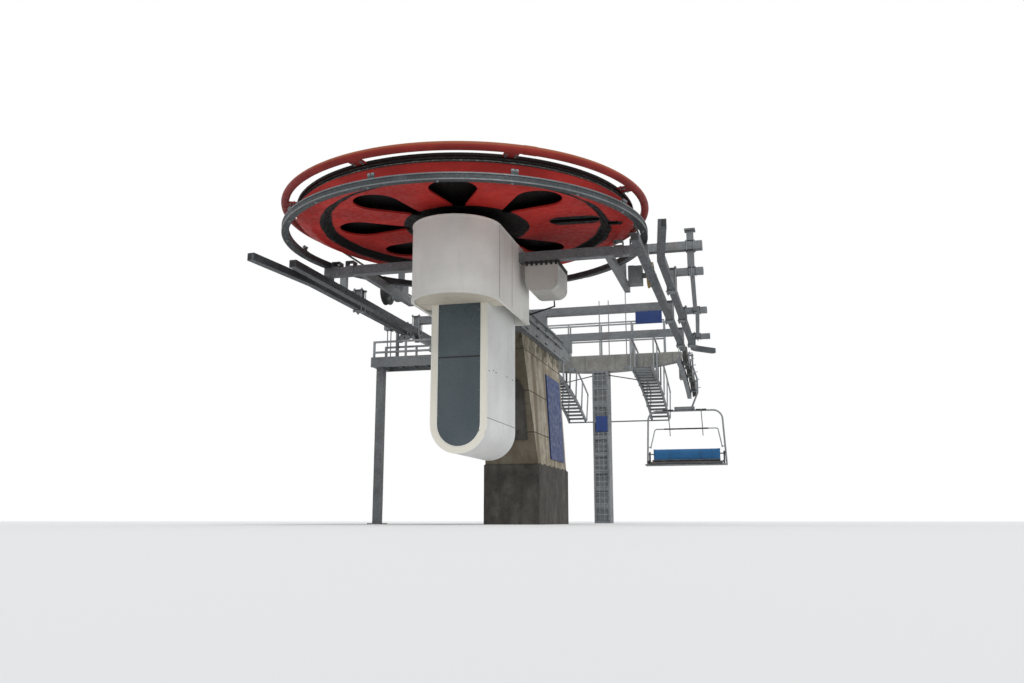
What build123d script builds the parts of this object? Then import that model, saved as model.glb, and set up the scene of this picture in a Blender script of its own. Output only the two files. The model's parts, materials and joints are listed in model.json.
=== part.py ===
from build123d import *
import os
from math import cos, degrees, sin

# Chairlift end station with its bullwheel, the first line tower behind it and one chair on the rope.
# Millimetres. Origin: centre of the plinth's foot. +X: right of the line as one looks at the tower.
# +Y: along the line, from the bullwheel to the tower. +Z: up.

# Line and rope
ROPE_HEIGHT = 4750
ROPE_HALF_GAUGE = 2600
ROPE_RADIUS = 20
ROPE_SEAT_GAP = 0.8
ROPE_LINER_GAP = 2
WHEEL_Y = -4115
RUN_GAP = 0.3

# Plinth and pillar
PLINTH_WIDTH = 1040
PLINTH_LENGTH = 2630
PLINTH_HEIGHT = 1080
PLINTH_CHAMFER = 15
PILLAR_FOOT_HALF_WIDTH = 500
PILLAR_HEAD_HALF_WIDTH = 370
PILLAR_FOOT_Y = (-1290, 1230)
PILLAR_HEAD_Y = (-2000, 1185)
SIDE_PANEL_Y = (-245, 985)
SIDE_PANEL_RISE = (150, 1800)
SIDE_PANEL_THICKNESS = 25

# Girder on the pillar, its head for the wheel and its tail for the rear crossbeams
GIRDER_TOP = ROPE_HEIGHT - 950
GIRDER_HEIGHT = 430
GIRDER_BOTTOM = GIRDER_TOP - GIRDER_HEIGHT
GIRDER_HALF_WIDTH = 450
GIRDER_BACK = 1250
FLANGE_THICKNESS = 30
FLANGE_OVERHANG = 40
HEAD_TOP = ROPE_HEIGHT - 510
HEAD_HALF_WIDTH = 350
HEAD_Y = (-4500, -2560)
TAIL_HALF_WIDTH = 110
TAIL_HEIGHT = 220
TAIL_FRONT = -2300
SADDLE_OVERHANG = 60

# White hood over the head
HOOD_HALF_WIDTH = 690
HOOD_NOSE_Y = -4555
HOOD_BACK = -2735
HOOD_BOTTOM = GIRDER_BOTTOM - 40
HOOD_TOP = ROPE_HEIGHT - 220
HOOD_WALL = 40

# Capsule housing that hangs under the head
CAPSULE_HALF_WIDTH = 450
CAPSULE_Y = (-4425, -2765)
CAPSULE_ROUND_Z = 1500
CAPSULE_FRAME = 105
CAPSULE_POCKET = 30
CAPSULE_PANEL = 22
CAPSULE_SEAM_Z = 2520
PANEL_EDGE_GAP = 3

# Mast and bullwheel
MAST_RADIUS = 245
JOURNAL_RADIUS = 180
MAST_SHOULDER_Z = HOOD_TOP + 30
JOURNAL_TOP = ROPE_HEIGHT + 150
HUB_RADIUS = 430
HUB_TOP = ROPE_HEIGHT + 110
HUB_BORE_GAP = 2
RIM_RADIUS = ROPE_HALF_GAUGE + 60
RIM_INNER_RADIUS = ROPE_HALF_GAUGE - 110
RIM_EDGE_Z = ROPE_HEIGHT - 60
RIM_TOP = ROPE_HEIGHT + 80
LIP_RADIUS = RIM_INNER_RADIUS - 40
LIP_Z = ROPE_HEIGHT - 155
LINER_SEAT_RADIUS = ROPE_HALF_GAUGE - 60
LINER_RADIUS = ROPE_HALF_GAUGE + 22
LINER_HALF_HEIGHT = 45
WEB_Z = ROPE_HEIGHT - 60
WEB_THICKNESS = 30
STEP_RADIUS = 2160
STEP_WIDTH = 90
STEP_DROP = 80
WHEEL_OPENINGS = 8
OPENING_PHASE = -79
OPENING_TIP_R = 85
OPENING_TIP_AT = 990
OPENING_ROUND_R = 350
OPENING_ROUND_AT = 1700
SLOT_INDEX = 2
SLOT_TURN = -7
SLOT_HALF_WIDTH = 65
SLOT_SPAN = (1420, 2070)
OUTER_SLOT_SPAN = (2300, 2380)
OUTER_SLOT_HALF_WIDTH = 45
WHEEL_DECK = 10
GUARD_RING_RADIUS = RIM_RADIUS + 175
GUARD_TUBE_RADIUS = 60
GUARD_RING_Z = ROPE_HEIGHT + 105
GUARD_BRACKETS = 8
GUARD_BRACKET_PHASE = -60
GUARD_BRACKET_HALF = 100
GUARD_BRACKET_Z = (ROPE_HEIGHT + 50, ROPE_HEIGHT + 75)

# Guide ring under the wheel and guide rails beside it
GUIDE_RING_RADIUS = ROPE_HALF_GAUGE + 210
GUIDE_RING_WIDTH = 100
GUIDE_RING_HEIGHT = 95
GUIDE_RING_BOTTOM = ROPE_HEIGHT - 365
GUIDE_RING_HALF_SWEEP = 159
RAIL_WIDTH = 120
RAIL_HEIGHT = 120
RAIL_TOP = ROPE_HEIGHT - 560
INNER_RAIL_X = ROPE_HALF_GAUGE + 150
OUTER_RAIL_X = ROPE_HALF_GAUGE + 410
OUTER_RAIL_FRONT_X = OUTER_RAIL_X + 190
OUTER_RAIL_KINK = 1700
INNER_RAIL_FRONT = -4675
OUTER_RAIL_FRONT = -5195
RIGHT_RAIL_BACK = 4385
LEFT_RAIL_BACK = 1185
FLARE_OUT = 450
FLARE_LENGTH = 500
FLARE_BEND = 400

# Crossbeams, and the gallows that carry the outer rails over the rope
BEAM_WIDTH = 160
BEAM_HEIGHT = 160
FRONT_BEAM_Y = -3370
FRONT_BEAM_HALF = ROPE_HALF_GAUGE - 400
FRONT_BEAM_BOTTOM = HEAD_TOP
CARRIER_X = (ROPE_HALF_GAUGE - 500, ROPE_HALF_GAUGE - 400)
CARRIER_BACK = -950
REAR_BEAMS_Y = (960, 3680)
REAR_BEAM_BOTTOM = RAIL_TOP + 120
STUB_HEIGHT = 110
STUBS = (
    (-1500, RAIL_TOP + 170, OUTER_RAIL_X + 560),
    (REAR_BEAMS_Y[0], RAIL_TOP + 20, OUTER_RAIL_X + 490),
    (REAR_BEAMS_Y[1], RAIL_TOP + 20, OUTER_RAIL_X + 420),
)
GALLOWS_BOTTOM = ROPE_HEIGHT + 60
GALLOWS_HEIGHT = 150
GALLOWS_POST_X = OUTER_RAIL_X + 350
GALLOWS_POST_HALF = 60
GALLOWS_POST_TOP = GALLOWS_BOTTOM + 355
GALLOWS_CAP_HALF = 95
GALLOWS_CAP_THICKNESS = 30
INNER_POST_HALF = 50
SIDE_TUBE = 80
SIDE_TUBES_X = ((OUTER_RAIL_X + 365, OUTER_RAIL_X + 260), (OUTER_RAIL_X + 300, OUTER_RAIL_X + 140))

# Drive cover under the front crossbeam
COVER_X = (800, 1350)
COVER_Y = (-3450, -2700)
COVER_TOP = FRONT_BEAM_BOTTOM
COVER_HEIGHT = 500
COVER_BOTTOM = COVER_TOP - COVER_HEIGHT
COVER_ROUND = 150
COVER_LID_HEIGHT = 50

# Left platform with its column
PLATFORM_X = (-3550, -490)
PLATFORM_Y = (335, 1035)
DECK_THICKNESS = 30
PLATFORM_CHANNEL = 60
PLATFORM_CHANNEL_DEPTH = 80
PLATFORM_COLUMN_X = -3450
PLATFORM_COLUMN_HALF = 80
PLATFORM_FOOT = 20
PLATFORM_RAIL_HEIGHT = 450
RAIL_TUBE = 40
PLATFORM_RAIL_POSTS = 5

# Rope arc over the line tower, and the sheaves under it
ARC_START_Y = 6885
ARC_RADIUS = 18400
SHEAVE_COUNT = 6
SHEAVE_FIRST = 500
SHEAVE_PITCH = 720
SHEAVE_RADIUS = 240
SHEAVE_TREAD_RADIUS = 225
SHEAVE_WIDTH = 110
SHEAVE_PIN_RADIUS = 25
SHEAVE_DROP = ROPE_RADIUS + ROPE_SEAT_GAP + SHEAVE_TREAD_RADIUS
ROPE_OVERRUN = 600
ROPE_END_S = SHEAVE_FIRST + SHEAVE_PITCH * (SHEAVE_COUNT - 1) + ROPE_OVERRUN
SUPPORT_SHEAVE_Y = -1115
SUPPORT_BOX_X = (CARRIER_X[1], ROPE_HALF_GAUGE - 150)
BATTERY_BEAM_X = (ROPE_HALF_GAUGE - 220, ROPE_HALF_GAUGE - 100)
BATTERY_BEAM_HALF = 80
PIVOT_DROP = 420
ROCKER_PLATE = 12
ROCKER_INNER_X = ROPE_HALF_GAUGE - 78
ROCKER_OUTER_X = ROPE_HALF_GAUGE + 66

# Line tower
TOWER_Y = 9135
TOWER_COLUMN_X = 460
TOWER_COLUMN_Y = 600
TOWER_COLUMN_HEIGHT = ROPE_HEIGHT - 340
RECESS_COUNT = 9
RECESS_DEPTH = 60
RECESS_MARGIN = 60
CROSSHEAD_TOP = ROPE_HEIGHT + 150
CROSSHEAD_HALF = ROPE_HALF_GAUGE - 300
CROSSHEAD_END_BOTTOM = CROSSHEAD_TOP - 260
CROSSHEAD_HALF_Y = 200
TOWER_RAIL_HALF = 1900
TOWER_RAIL_POSTS = 5
TOWER_RAIL_HEIGHT = 1000
ROD_RADIUS = 15
RODS = ((-30, 6600), (250, 6600), (770, 7600))
CATWALK_X = (1080, 1680)
CATWALK_S = (800, 5900)
CATWALK_DROP = 420
CATWALK_TREADS = 17
STRINGER_DEPTH = 120
CATWALK_POSTS = 6
TIE_RADIUS = 22
STAY_RADIUS = 16
TREAD_DEPTH = 200
TREAD_THICKNESS = 30
STRINGER = 50
HANDRAIL_RISE = 900
PLATE_X = (-140, 200)
PLATE_Z = (2620, 3070)
PLATE_THICKNESS = 12

# Chair: sizes measured from the rope, on the chair's own middle line
CHAIR_S = 1580
CHAIR_SET = 150
CHAIR_X = ROPE_HALF_GAUGE - CHAIR_SET
GRIP_WIDTH = 90
GRIP_LENGTH = 160
GRIP_PIN_RADIUS = 22
GRIP_PIN_LENGTH = 110
EYE_RADIUS = 52
EYE_HALF_WIDTH = 28
HANGER_OFFSET = 120
HANGER_TUBE = 25
HANGER_PATH = ((0, 40), (5, 320), (110, 670), (110, 1070), (-60, 1470))
HANGER_BEND = 140
BAIL_DROP = 1570
HEAD_DROP = BAIL_DROP - 110
HEAD_HALF_WIDTH_CHAIR = 280
LEG_TOP_HALF = 1020
LEG_FOOT_HALF = 1095
FRAME_HEIGHT = 1512
FRAME_DROP = BAIL_DROP + FRAME_HEIGHT
FRAME_TUBE = 25
SEAT_RAIL_RADIUS = 20
SEAT_RAIL_REACHES = (-90, -380)
FRAME_BENDS = (70, 260, 260, 70)
SEAT_BACK_SET = 190
SEAT_ARM = 440
PAN_HALF = 985
PAN_TOP = FRAME_DROP - 162
PAD_HALF = 950
PAD_THICKNESS = 60
BACKREST_HEIGHT = 320
BACK_RAIL_RADIUS = 18
BACK_RAIL_DROP = PAN_TOP - 160
BAR_PIVOT_BELOW_BAIL = 1000
BAR_PIVOT_DROP = BAIL_DROP + BAR_PIVOT_BELOW_BAIL
BAR_TUBE = 16
STRUT_RADIUS = 13
FOOTREST_RADIUS = 15
BAR_HALF = 880
BAR_LEAN = 250
BAR_RISE = 530
BAR_PIN_RADIUS = 12
FOOTREST_X = 460
FOOTREST_REACH = (480, 480)


def block(x, y, z):
    """Box between two limits on each axis."""
    box = Box(x[1] - x[0], y[1] - y[0], z[1] - z[0])
    return Pos((x[0] + x[1]) / 2, (y[0] + y[1]) / 2, (z[0] + z[1]) / 2) * box


def around(middle, half):
    """Limits at the same distance on both sides of a middle value."""
    return (middle - half, middle + half)


def rod(start, end, radius):
    """Round bar between two points."""
    axis = Vector(*end) - Vector(*start)
    return extrude(Plane(origin=start, z_dir=axis) * Circle(radius), amount=axis.length)


def bent_rod(points, radius, bend):
    """Round bar along straight runs joined by arcs."""
    bar = None
    for edge in FilletPolyline(*points, radius=bend).edges():
        start = Plane(origin=edge @ 0, z_dir=edge % 0) * Circle(radius)
        if edge.geom_type == GeomType.LINE:
            piece = extrude(start, amount=edge.length)
        else:
            spoke = (edge @ 0) - edge.arc_center
            pivot = Axis(edge.arc_center, spoke.cross(edge % 0))
            piece = revolve(start, pivot, degrees(edge.length / edge.radius))
        bar = piece if bar is None else bar + piece
    return bar


def square_bar(start, end, size):
    """Square tube between two points."""
    axis = Vector(*end) - Vector(*start)
    return extrude(Plane(origin=start, x_dir=(1, 0, 0), z_dir=axis) * Rectangle(size, size), amount=axis.length)


def flat_bar(points, bend):
    """Rectangular rail along a level path of straight runs joined by arcs."""
    path = FilletPolyline(*points, radius=bend)
    start = Plane(origin=path @ 0, x_dir=(1, 0, 0), z_dir=path % 0)
    return sweep(start * Rectangle(RAIL_WIDTH, RAIL_HEIGHT), path=path)


def across(outline, x):
    """Side outline, drawn in Y and Z, made as thick as the span in X."""
    plane = Plane(origin=(x[0], 0, 0), x_dir=(0, 1, 0), z_dir=(1, 0, 0))
    return extrude(plane * outline, amount=x[1] - x[0])


def along(outline, y):
    """Front outline, drawn in X and Z, made as long as the span in Y."""
    plane = Plane(origin=(0, y[1], 0), x_dir=(1, 0, 0), z_dir=(0, -1, 0))
    return extrude(plane * outline, amount=y[1] - y[0])


def ring(profile, sweep_angle=360, start=0):
    """Profile of radius and height turned round the bullwheel's axis."""
    face = make_face(Polyline(*profile, close=True))
    turned = revolve(Plane.XZ * face, Axis.Z, sweep_angle)
    return Pos(0, WHEEL_Y, 0) * Rot(0, 0, start) * turned


def round_hull(circles):
    """Plate outline stretched round circles given as across, up and radius."""
    marks = Sketch() + [Pos(a, b) * Circle(r) for a, b, r in circles]
    return make_hull(marks.edges())


def on_arc(s, drop):
    """Y and Z at a distance along the rope's arc over the tower, and below the rope."""
    turn = s / ARC_RADIUS
    reach = ARC_RADIUS - drop
    return ARC_START_Y + reach * sin(turn), ROPE_HEIGHT - ARC_RADIUS + reach * cos(turn)


def arc_band(s, drop):
    """Side outline of a band that follows the rope's arc."""
    middle = (s[0] + s[1]) / 2
    upper = ThreePointArc(on_arc(s[0], drop[0]), on_arc(middle, drop[0]), on_arc(s[1], drop[0]))
    lower = ThreePointArc(on_arc(s[1], drop[1]), on_arc(middle, drop[1]), on_arc(s[0], drop[1]))
    return make_face([upper, Line(upper @ 1, lower @ 0), lower, Line(lower @ 1, upper @ 0)])


def arc_rod(x, s, drop, radius):
    """Round bar that follows the rope's arc."""
    points = [(x, *on_arc(at, drop)) for at in (s[0], (s[0] + s[1]) / 2, s[1])]
    path = ThreePointArc(*points)
    return sweep(Plane(origin=path @ 0, z_dir=path % 0) * Circle(radius), path=path)


def mirrored(shape):
    """The same shape on the other side of the line."""
    return mirror(shape, about=Plane.YZ)


def save(name, *shapes):
    """Write one node, of one solid or several that do not touch."""
    shape = shapes[0] if len(shapes) == 1 else Compound(children=list(shapes))
    shape.label = name
    export_step(shape, "parts/" + name + ".step")


os.makedirs("parts", exist_ok=True)

# Plinth and pillar
plinth = block(around(0, PLINTH_WIDTH / 2), around(0, PLINTH_LENGTH / 2), (0, PLINTH_HEIGHT))
save("plinth", chamfer(plinth.edges().group_by(Axis.Z)[-1], PLINTH_CHAMFER))

pillar_sections = []
for z, half_width, span in (
    (PLINTH_HEIGHT, PILLAR_FOOT_HALF_WIDTH, PILLAR_FOOT_Y),
    (GIRDER_BOTTOM, PILLAR_HEAD_HALF_WIDTH, PILLAR_HEAD_Y),
):
    section = Rectangle(2 * half_width, span[1] - span[0])
    pillar_sections.append(Pos(0, (span[0] + span[1]) / 2, z) * section)
save("pillar", loft(pillar_sections))

batter = Vector(
    PILLAR_HEAD_HALF_WIDTH - PILLAR_FOOT_HALF_WIDTH, 0, GIRDER_BOTTOM - PLINTH_HEIGHT).normalized()
panel_plane = Plane(
    origin=(PILLAR_FOOT_HALF_WIDTH, sum(SIDE_PANEL_Y) / 2, PLINTH_HEIGHT),
    x_dir=(0, 1, 0),
    z_dir=(batter.Z, 0, -batter.X),
)
panel_outline = Rectangle(SIDE_PANEL_Y[1] - SIDE_PANEL_Y[0], SIDE_PANEL_RISE[1] - SIDE_PANEL_RISE[0])
panel_outline = panel_plane * Pos(0, sum(SIDE_PANEL_RISE) / 2) * panel_outline
save("side_panel", extrude(panel_outline, amount=SIDE_PANEL_THICKNESS))

# Girder: box with flanges and the raised head, then the tail beam with a saddle for each crossbeam
girder = block(around(0, GIRDER_HALF_WIDTH), (CAPSULE_Y[1], GIRDER_BACK), (GIRDER_BOTTOM, GIRDER_TOP))
for level in (GIRDER_BOTTOM, GIRDER_TOP - FLANGE_THICKNESS):
    girder += block(
        around(0, GIRDER_HALF_WIDTH + FLANGE_OVERHANG), (HOOD_BACK, GIRDER_BACK), (level, level + FLANGE_THICKNESS))
girder += block(around(0, HEAD_HALF_WIDTH), HEAD_Y, (GIRDER_TOP, HEAD_TOP))
save("girder", girder)

tail_top = GIRDER_TOP + TAIL_HEIGHT
tail = block(
    around(0, TAIL_HALF_WIDTH), (TAIL_FRONT, REAR_BEAMS_Y[-1] + BEAM_WIDTH / 2), (GIRDER_TOP, tail_top))
for beam_y in REAR_BEAMS_Y:
    saddle_half = TAIL_HALF_WIDTH + SADDLE_OVERHANG
    tail += block(around(0, saddle_half), around(beam_y, BEAM_WIDTH / 2), (tail_top, REAR_BEAM_BOTTOM))
save("tail_beam", tail)

# Hood: round nose, flat back, open underneath, slots for the crossbeam and the girder
def hood_plan(half_width, back):
    nose = Pos(0, HOOD_NOSE_Y) * Circle(half_width)
    return nose + Pos(0, (HOOD_NOSE_Y + back) / 2) * Rectangle(2 * half_width, back - HOOD_NOSE_Y)


front_beam_y = around(FRONT_BEAM_Y, BEAM_WIDTH / 2)
front_beam_z = (FRONT_BEAM_BOTTOM, FRONT_BEAM_BOTTOM + BEAM_HEIGHT)
hood = extrude(Pos(0, 0, HOOD_BOTTOM) * hood_plan(HOOD_HALF_WIDTH, HOOD_BACK), amount=HOOD_TOP - HOOD_BOTTOM)
hood -= extrude(
    Pos(0, 0, HOOD_BOTTOM) * hood_plan(HOOD_HALF_WIDTH - HOOD_WALL, HOOD_BACK - HOOD_WALL),
    amount=HOOD_TOP - HOOD_WALL - HOOD_BOTTOM,
)
hood -= block(around(0, HOOD_HALF_WIDTH), front_beam_y, front_beam_z)
back_cut = (HOOD_BACK - 2 * HOOD_WALL, HOOD_BACK)
hood -= block(around(0, GIRDER_HALF_WIDTH), back_cut, (HOOD_BOTTOM, GIRDER_TOP))
hood -= block(around(0, HEAD_HALF_WIDTH), back_cut, (GIRDER_TOP, HEAD_TOP))
hood -= Pos(0, WHEEL_Y, HOOD_TOP) * Cylinder(MAST_RADIUS + 10, 4 * HOOD_WALL)
save("hood", hood)


# Capsule housing, with the dark panels in its pocket
def capsule_outline(half_width, top):
    """Upright outline with a half-round foot."""
    foot = Pos(0, CAPSULE_ROUND_Z) * Circle(half_width)
    return foot + Pos(0, (CAPSULE_ROUND_Z + top) / 2) * Rectangle(2 * half_width, top - CAPSULE_ROUND_Z)


pocket_y = (CAPSULE_Y[0], CAPSULE_Y[0] + CAPSULE_POCKET)
capsule = along(capsule_outline(CAPSULE_HALF_WIDTH, GIRDER_TOP), CAPSULE_Y)
capsule -= along(capsule_outline(CAPSULE_HALF_WIDTH - CAPSULE_FRAME, GIRDER_TOP), pocket_y)
save("capsule_shell", capsule)

panel_half = CAPSULE_HALF_WIDTH - CAPSULE_FRAME - PANEL_EDGE_GAP
panel_y = (pocket_y[1] - CAPSULE_PANEL, pocket_y[1])
lower_panel = along(capsule_outline(panel_half, CAPSULE_SEAM_Z - PANEL_EDGE_GAP), panel_y)
upper_panel = block(
    around(0, panel_half), panel_y, (CAPSULE_SEAM_Z + PANEL_EDGE_GAP, GIRDER_TOP - PANEL_EDGE_GAP))
save("capsule_panels", lower_panel, upper_panel)

# Mast and bullwheel
mast = Pos(0, WHEEL_Y, (HEAD_TOP + MAST_SHOULDER_Z) / 2) * Cylinder(MAST_RADIUS, MAST_SHOULDER_Z - HEAD_TOP)
mast += Pos(0, WHEEL_Y, (MAST_SHOULDER_Z + JOURNAL_TOP) / 2) * Cylinder(
    JOURNAL_RADIUS, JOURNAL_TOP - MAST_SHOULDER_Z)
save("wheel_mast", mast)

hub_bottom = MAST_SHOULDER_Z + RUN_GAP
hub_bore = JOURNAL_RADIUS + HUB_BORE_GAP
groove = around(ROPE_HEIGHT, LINER_HALF_HEIGHT)
step_outer = STEP_RADIUS + STEP_WIDTH
web_top = WEB_Z + WEB_THICKNESS
flange_z = WEB_Z - STEP_DROP
wheel = ring([
    (hub_bore, hub_bottom), (HUB_RADIUS, hub_bottom), (HUB_RADIUS, WEB_Z), (STEP_RADIUS, WEB_Z),
    (step_outer, flange_z), (LIP_RADIUS - WEB_THICKNESS, flange_z), (LIP_RADIUS, LIP_Z),
    (RIM_RADIUS, RIM_EDGE_Z), (RIM_RADIUS, groove[0]), (LINER_SEAT_RADIUS, groove[0]),
    (LINER_SEAT_RADIUS, groove[1]), (RIM_RADIUS, groove[1]),
    (RIM_RADIUS, RIM_TOP), (RIM_INNER_RADIUS, RIM_TOP), (RIM_INNER_RADIUS, flange_z + 2 * WEB_THICKNESS),
    (LIP_RADIUS - WEB_THICKNESS, flange_z + WEB_THICKNESS), (step_outer, flange_z + WEB_THICKNESS),
    (STEP_RADIUS, web_top), (HUB_RADIUS, web_top), (HUB_RADIUS, HUB_TOP), (hub_bore, HUB_TOP),
])
teardrop = round_hull([(OPENING_TIP_AT, 0, OPENING_TIP_R), (OPENING_ROUND_AT, 0, OPENING_ROUND_R)])
slot = round_hull([(reach, 0, SLOT_HALF_WIDTH) for reach in SLOT_SPAN])
slot += round_hull([(reach, 0, OUTER_SLOT_HALF_WIDTH) for reach in OUTER_SLOT_SPAN])
for index in range(WHEEL_OPENINGS):
    outline = slot if index == SLOT_INDEX else teardrop
    turn = OPENING_PHASE + index * 360 / WHEEL_OPENINGS + (SLOT_TURN if index == SLOT_INDEX else 0)
    cutter = extrude(outline, amount=2 * STEP_DROP)
    wheel -= Pos(0, WHEEL_Y, flange_z - WEB_THICKNESS) * Rot(0, 0, turn) * cutter
save("bullwheel", wheel)
deck_inner, deck_outer = HUB_RADIUS, RIM_RADIUS - WHEEL_DECK
save("wheel_deck", ring([
    (deck_inner, RIM_TOP), (deck_outer, RIM_TOP), (deck_outer, RIM_TOP + WHEEL_DECK),
    (deck_inner, RIM_TOP + WHEEL_DECK),
]))

liner_height = LINER_HALF_HEIGHT - RUN_GAP
liner_section = Pos((LINER_SEAT_RADIUS + RUN_GAP + LINER_RADIUS) / 2, ROPE_HEIGHT) * Rectangle(
    LINER_RADIUS - LINER_SEAT_RADIUS - RUN_GAP, 2 * liner_height)
groove_radius = ROPE_RADIUS + ROPE_LINER_GAP
liner_section -= Pos(ROPE_HALF_GAUGE, ROPE_HEIGHT) * Circle(groove_radius)
liner_section -= Pos(ROPE_HALF_GAUGE + groove_radius, ROPE_HEIGHT) * Rectangle(2 * groove_radius, 2 * groove_radius)
save("wheel_liner", Pos(0, WHEEL_Y, 0) * revolve(Plane.XZ * liner_section, Axis.Z, 360))

guard = Pos(0, WHEEL_Y, GUARD_RING_Z) * Torus(GUARD_RING_RADIUS, GUARD_TUBE_RADIUS)
bracket = block((RIM_RADIUS, GUARD_RING_RADIUS), around(0, GUARD_BRACKET_HALF), GUARD_BRACKET_Z)
for index in range(GUARD_BRACKETS):
    turn = GUARD_BRACKET_PHASE + index * 360 / GUARD_BRACKETS
    guard += Pos(0, WHEEL_Y, 0) * Rot(0, 0, turn) * bracket
guard -= Pos(0, WHEEL_Y, GUARD_RING_Z) * Cylinder(RIM_RADIUS, 6 * GUARD_TUBE_RADIUS)
save("guard_ring", guard)

# Haul rope: half way round the wheel, straight to the tower, then over the sheaves
rope_section = Plane.XZ * (Pos(ROPE_HALF_GAUGE, 0) * Circle(ROPE_RADIUS))
save("rope_wrap", Pos(0, WHEEL_Y, ROPE_HEIGHT) * Rot(0, 0, 180) * revolve(rope_section, Axis.Z, 180))
rope_run = rod(
    (ROPE_HALF_GAUGE, WHEEL_Y, ROPE_HEIGHT), (ROPE_HALF_GAUGE, ARC_START_Y, ROPE_HEIGHT), ROPE_RADIUS)
rope_run += arc_rod(ROPE_HALF_GAUGE, (0, ROPE_END_S), 0, ROPE_RADIUS)
save("rope_runs", rope_run, mirrored(rope_run))

# Guide ring, which rests on the front crossbeam's arms and on the carriers
ring_r = around(GUIDE_RING_RADIUS, GUIDE_RING_WIDTH / 2)
ring_z = (GUIDE_RING_BOTTOM, GUIDE_RING_BOTTOM + GUIDE_RING_HEIGHT)
save("guide_ring", ring(
    [(ring_r[0], ring_z[0]), (ring_r[1], ring_z[0]), (ring_r[1], ring_z[1]), (ring_r[0], ring_z[1])],
    2 * GUIDE_RING_HALF_SWEEP,
    -90 - GUIDE_RING_HALF_SWEEP,
))

# Front crossbeam on the head, with arms for the ring and the inner rails, and carriers to the rear
inner_rail_edge = INNER_RAIL_X + RAIL_WIDTH / 2
front_beam = block(around(0, FRONT_BEAM_HALF), front_beam_y, front_beam_z)
for arm_x in ((FRONT_BEAM_HALF, inner_rail_edge), (-inner_rail_edge, -FRONT_BEAM_HALF)):
    front_beam += block(arm_x, front_beam_y, (FRONT_BEAM_BOTTOM, GUIDE_RING_BOTTOM))
for side in (-1, 1):
    front_beam += block(
        around(side * INNER_RAIL_X, RAIL_WIDTH / 2), front_beam_y, (RAIL_TOP, FRONT_BEAM_BOTTOM))
save("front_beam", front_beam)
carrier = block(CARRIER_X, (front_beam_y[1], CARRIER_BACK), (FRONT_BEAM_BOTTOM, GUIDE_RING_BOTTOM))
save("carriers", carrier, mirrored(carrier))

# Rear crossbeams, on clamps over the inner rails
beam_z = (REAR_BEAM_BOTTOM, REAR_BEAM_BOTTOM + BEAM_HEIGHT)
crossbeams = []
for beam_y in REAR_BEAMS_Y:
    crossbeam = block(around(0, inner_rail_edge), around(beam_y, BEAM_WIDTH / 2), beam_z)
    for side in (-1, 1):
        crossbeam += block(
            around(side * INNER_RAIL_X, RAIL_WIDTH / 2), around(beam_y, BEAM_WIDTH / 2), (RAIL_TOP, beam_z[0]))
    crossbeams.append(crossbeam)
save("crossbeams", *crossbeams)

# Gallows over the rope, with the stubs and side tubes that carry the outer rail
outer_rail_x = around(OUTER_RAIL_X, RAIL_WIDTH / 2)
gallows_y = around(STUBS[0][0], BEAM_WIDTH / 2)
gallows_z = (GALLOWS_BOTTOM, GALLOWS_BOTTOM + GALLOWS_HEIGHT)
inner_post_x = sum(CARRIER_X) / 2
gallows = block((CARRIER_X[0], STUBS[0][2]), gallows_y, gallows_z)
for post_x, post_half, post_z in (
    (inner_post_x, INNER_POST_HALF, (GUIDE_RING_BOTTOM, gallows_z[1])),
    (GALLOWS_POST_X, GALLOWS_POST_HALF, (STUBS[0][1], gallows_z[1])),
):
    gallows += block(around(post_x, post_half), around(STUBS[0][0], post_half), post_z)
for stub_y, bottom, end in STUBS:
    stub_span = around(stub_y, BEAM_WIDTH / 2)
    gallows += block((outer_rail_x[0], end), stub_span, (bottom, bottom + STUB_HEIGHT))
    gallows += block(outer_rail_x, stub_span, (RAIL_TOP, bottom))
for bay, (start_x, end_x) in enumerate(SIDE_TUBES_X):
    ends = [
        (x, STUBS[bay + shift][0], STUBS[bay + shift][1] + STUB_HEIGHT / 2)
        for x, shift in ((start_x, 0), (end_x, 1))]
    gallows += square_bar(*ends, SIDE_TUBE)
save("outer_frame_left", mirrored(gallows))
for post_half, post_z in (
    (GALLOWS_POST_HALF, (gallows_z[1], GALLOWS_POST_TOP)),
    (GALLOWS_CAP_HALF, (GALLOWS_POST_TOP, GALLOWS_POST_TOP + GALLOWS_CAP_THICKNESS)),
):
    gallows += block(around(GALLOWS_POST_X, post_half), around(STUBS[0][0], post_half), post_z)
save("outer_frame_right", gallows)

# Guide rails
rail_z = RAIL_TOP - RAIL_HEIGHT / 2
inner_rail = block(
    around(INNER_RAIL_X, RAIL_WIDTH / 2), (INNER_RAIL_FRONT, RIGHT_RAIL_BACK), around(rail_z, RAIL_HEIGHT / 2))
save("rails_inner", inner_rail, mirrored(inner_rail))
outer_rails = []
for side, back in ((1, RIGHT_RAIL_BACK), (-1, LEFT_RAIL_BACK)):
    outer_rails.append(flat_bar([
        (side * OUTER_RAIL_FRONT_X, OUTER_RAIL_FRONT, rail_z),
        (side * OUTER_RAIL_X, OUTER_RAIL_FRONT + OUTER_RAIL_KINK, rail_z),
        (side * OUTER_RAIL_X, back, rail_z),
        (side * (OUTER_RAIL_X + FLARE_OUT), back + FLARE_LENGTH, rail_z),
    ], FLARE_BEND))
save("rails_outer", *outer_rails)

# Drive cover with a rounded underside, hung from the front crossbeam by its dark lid
cover = block(COVER_X, COVER_Y, (COVER_BOTTOM, COVER_TOP - COVER_LID_HEIGHT))
cover = fillet(cover.edges().filter_by(Axis.Y).group_by(Axis.Z)[0], COVER_ROUND)
save("drive_cover", cover)
save("drive_cover_lid", block(COVER_X, COVER_Y, (COVER_TOP - COVER_LID_HEIGHT, COVER_TOP)))

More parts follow.
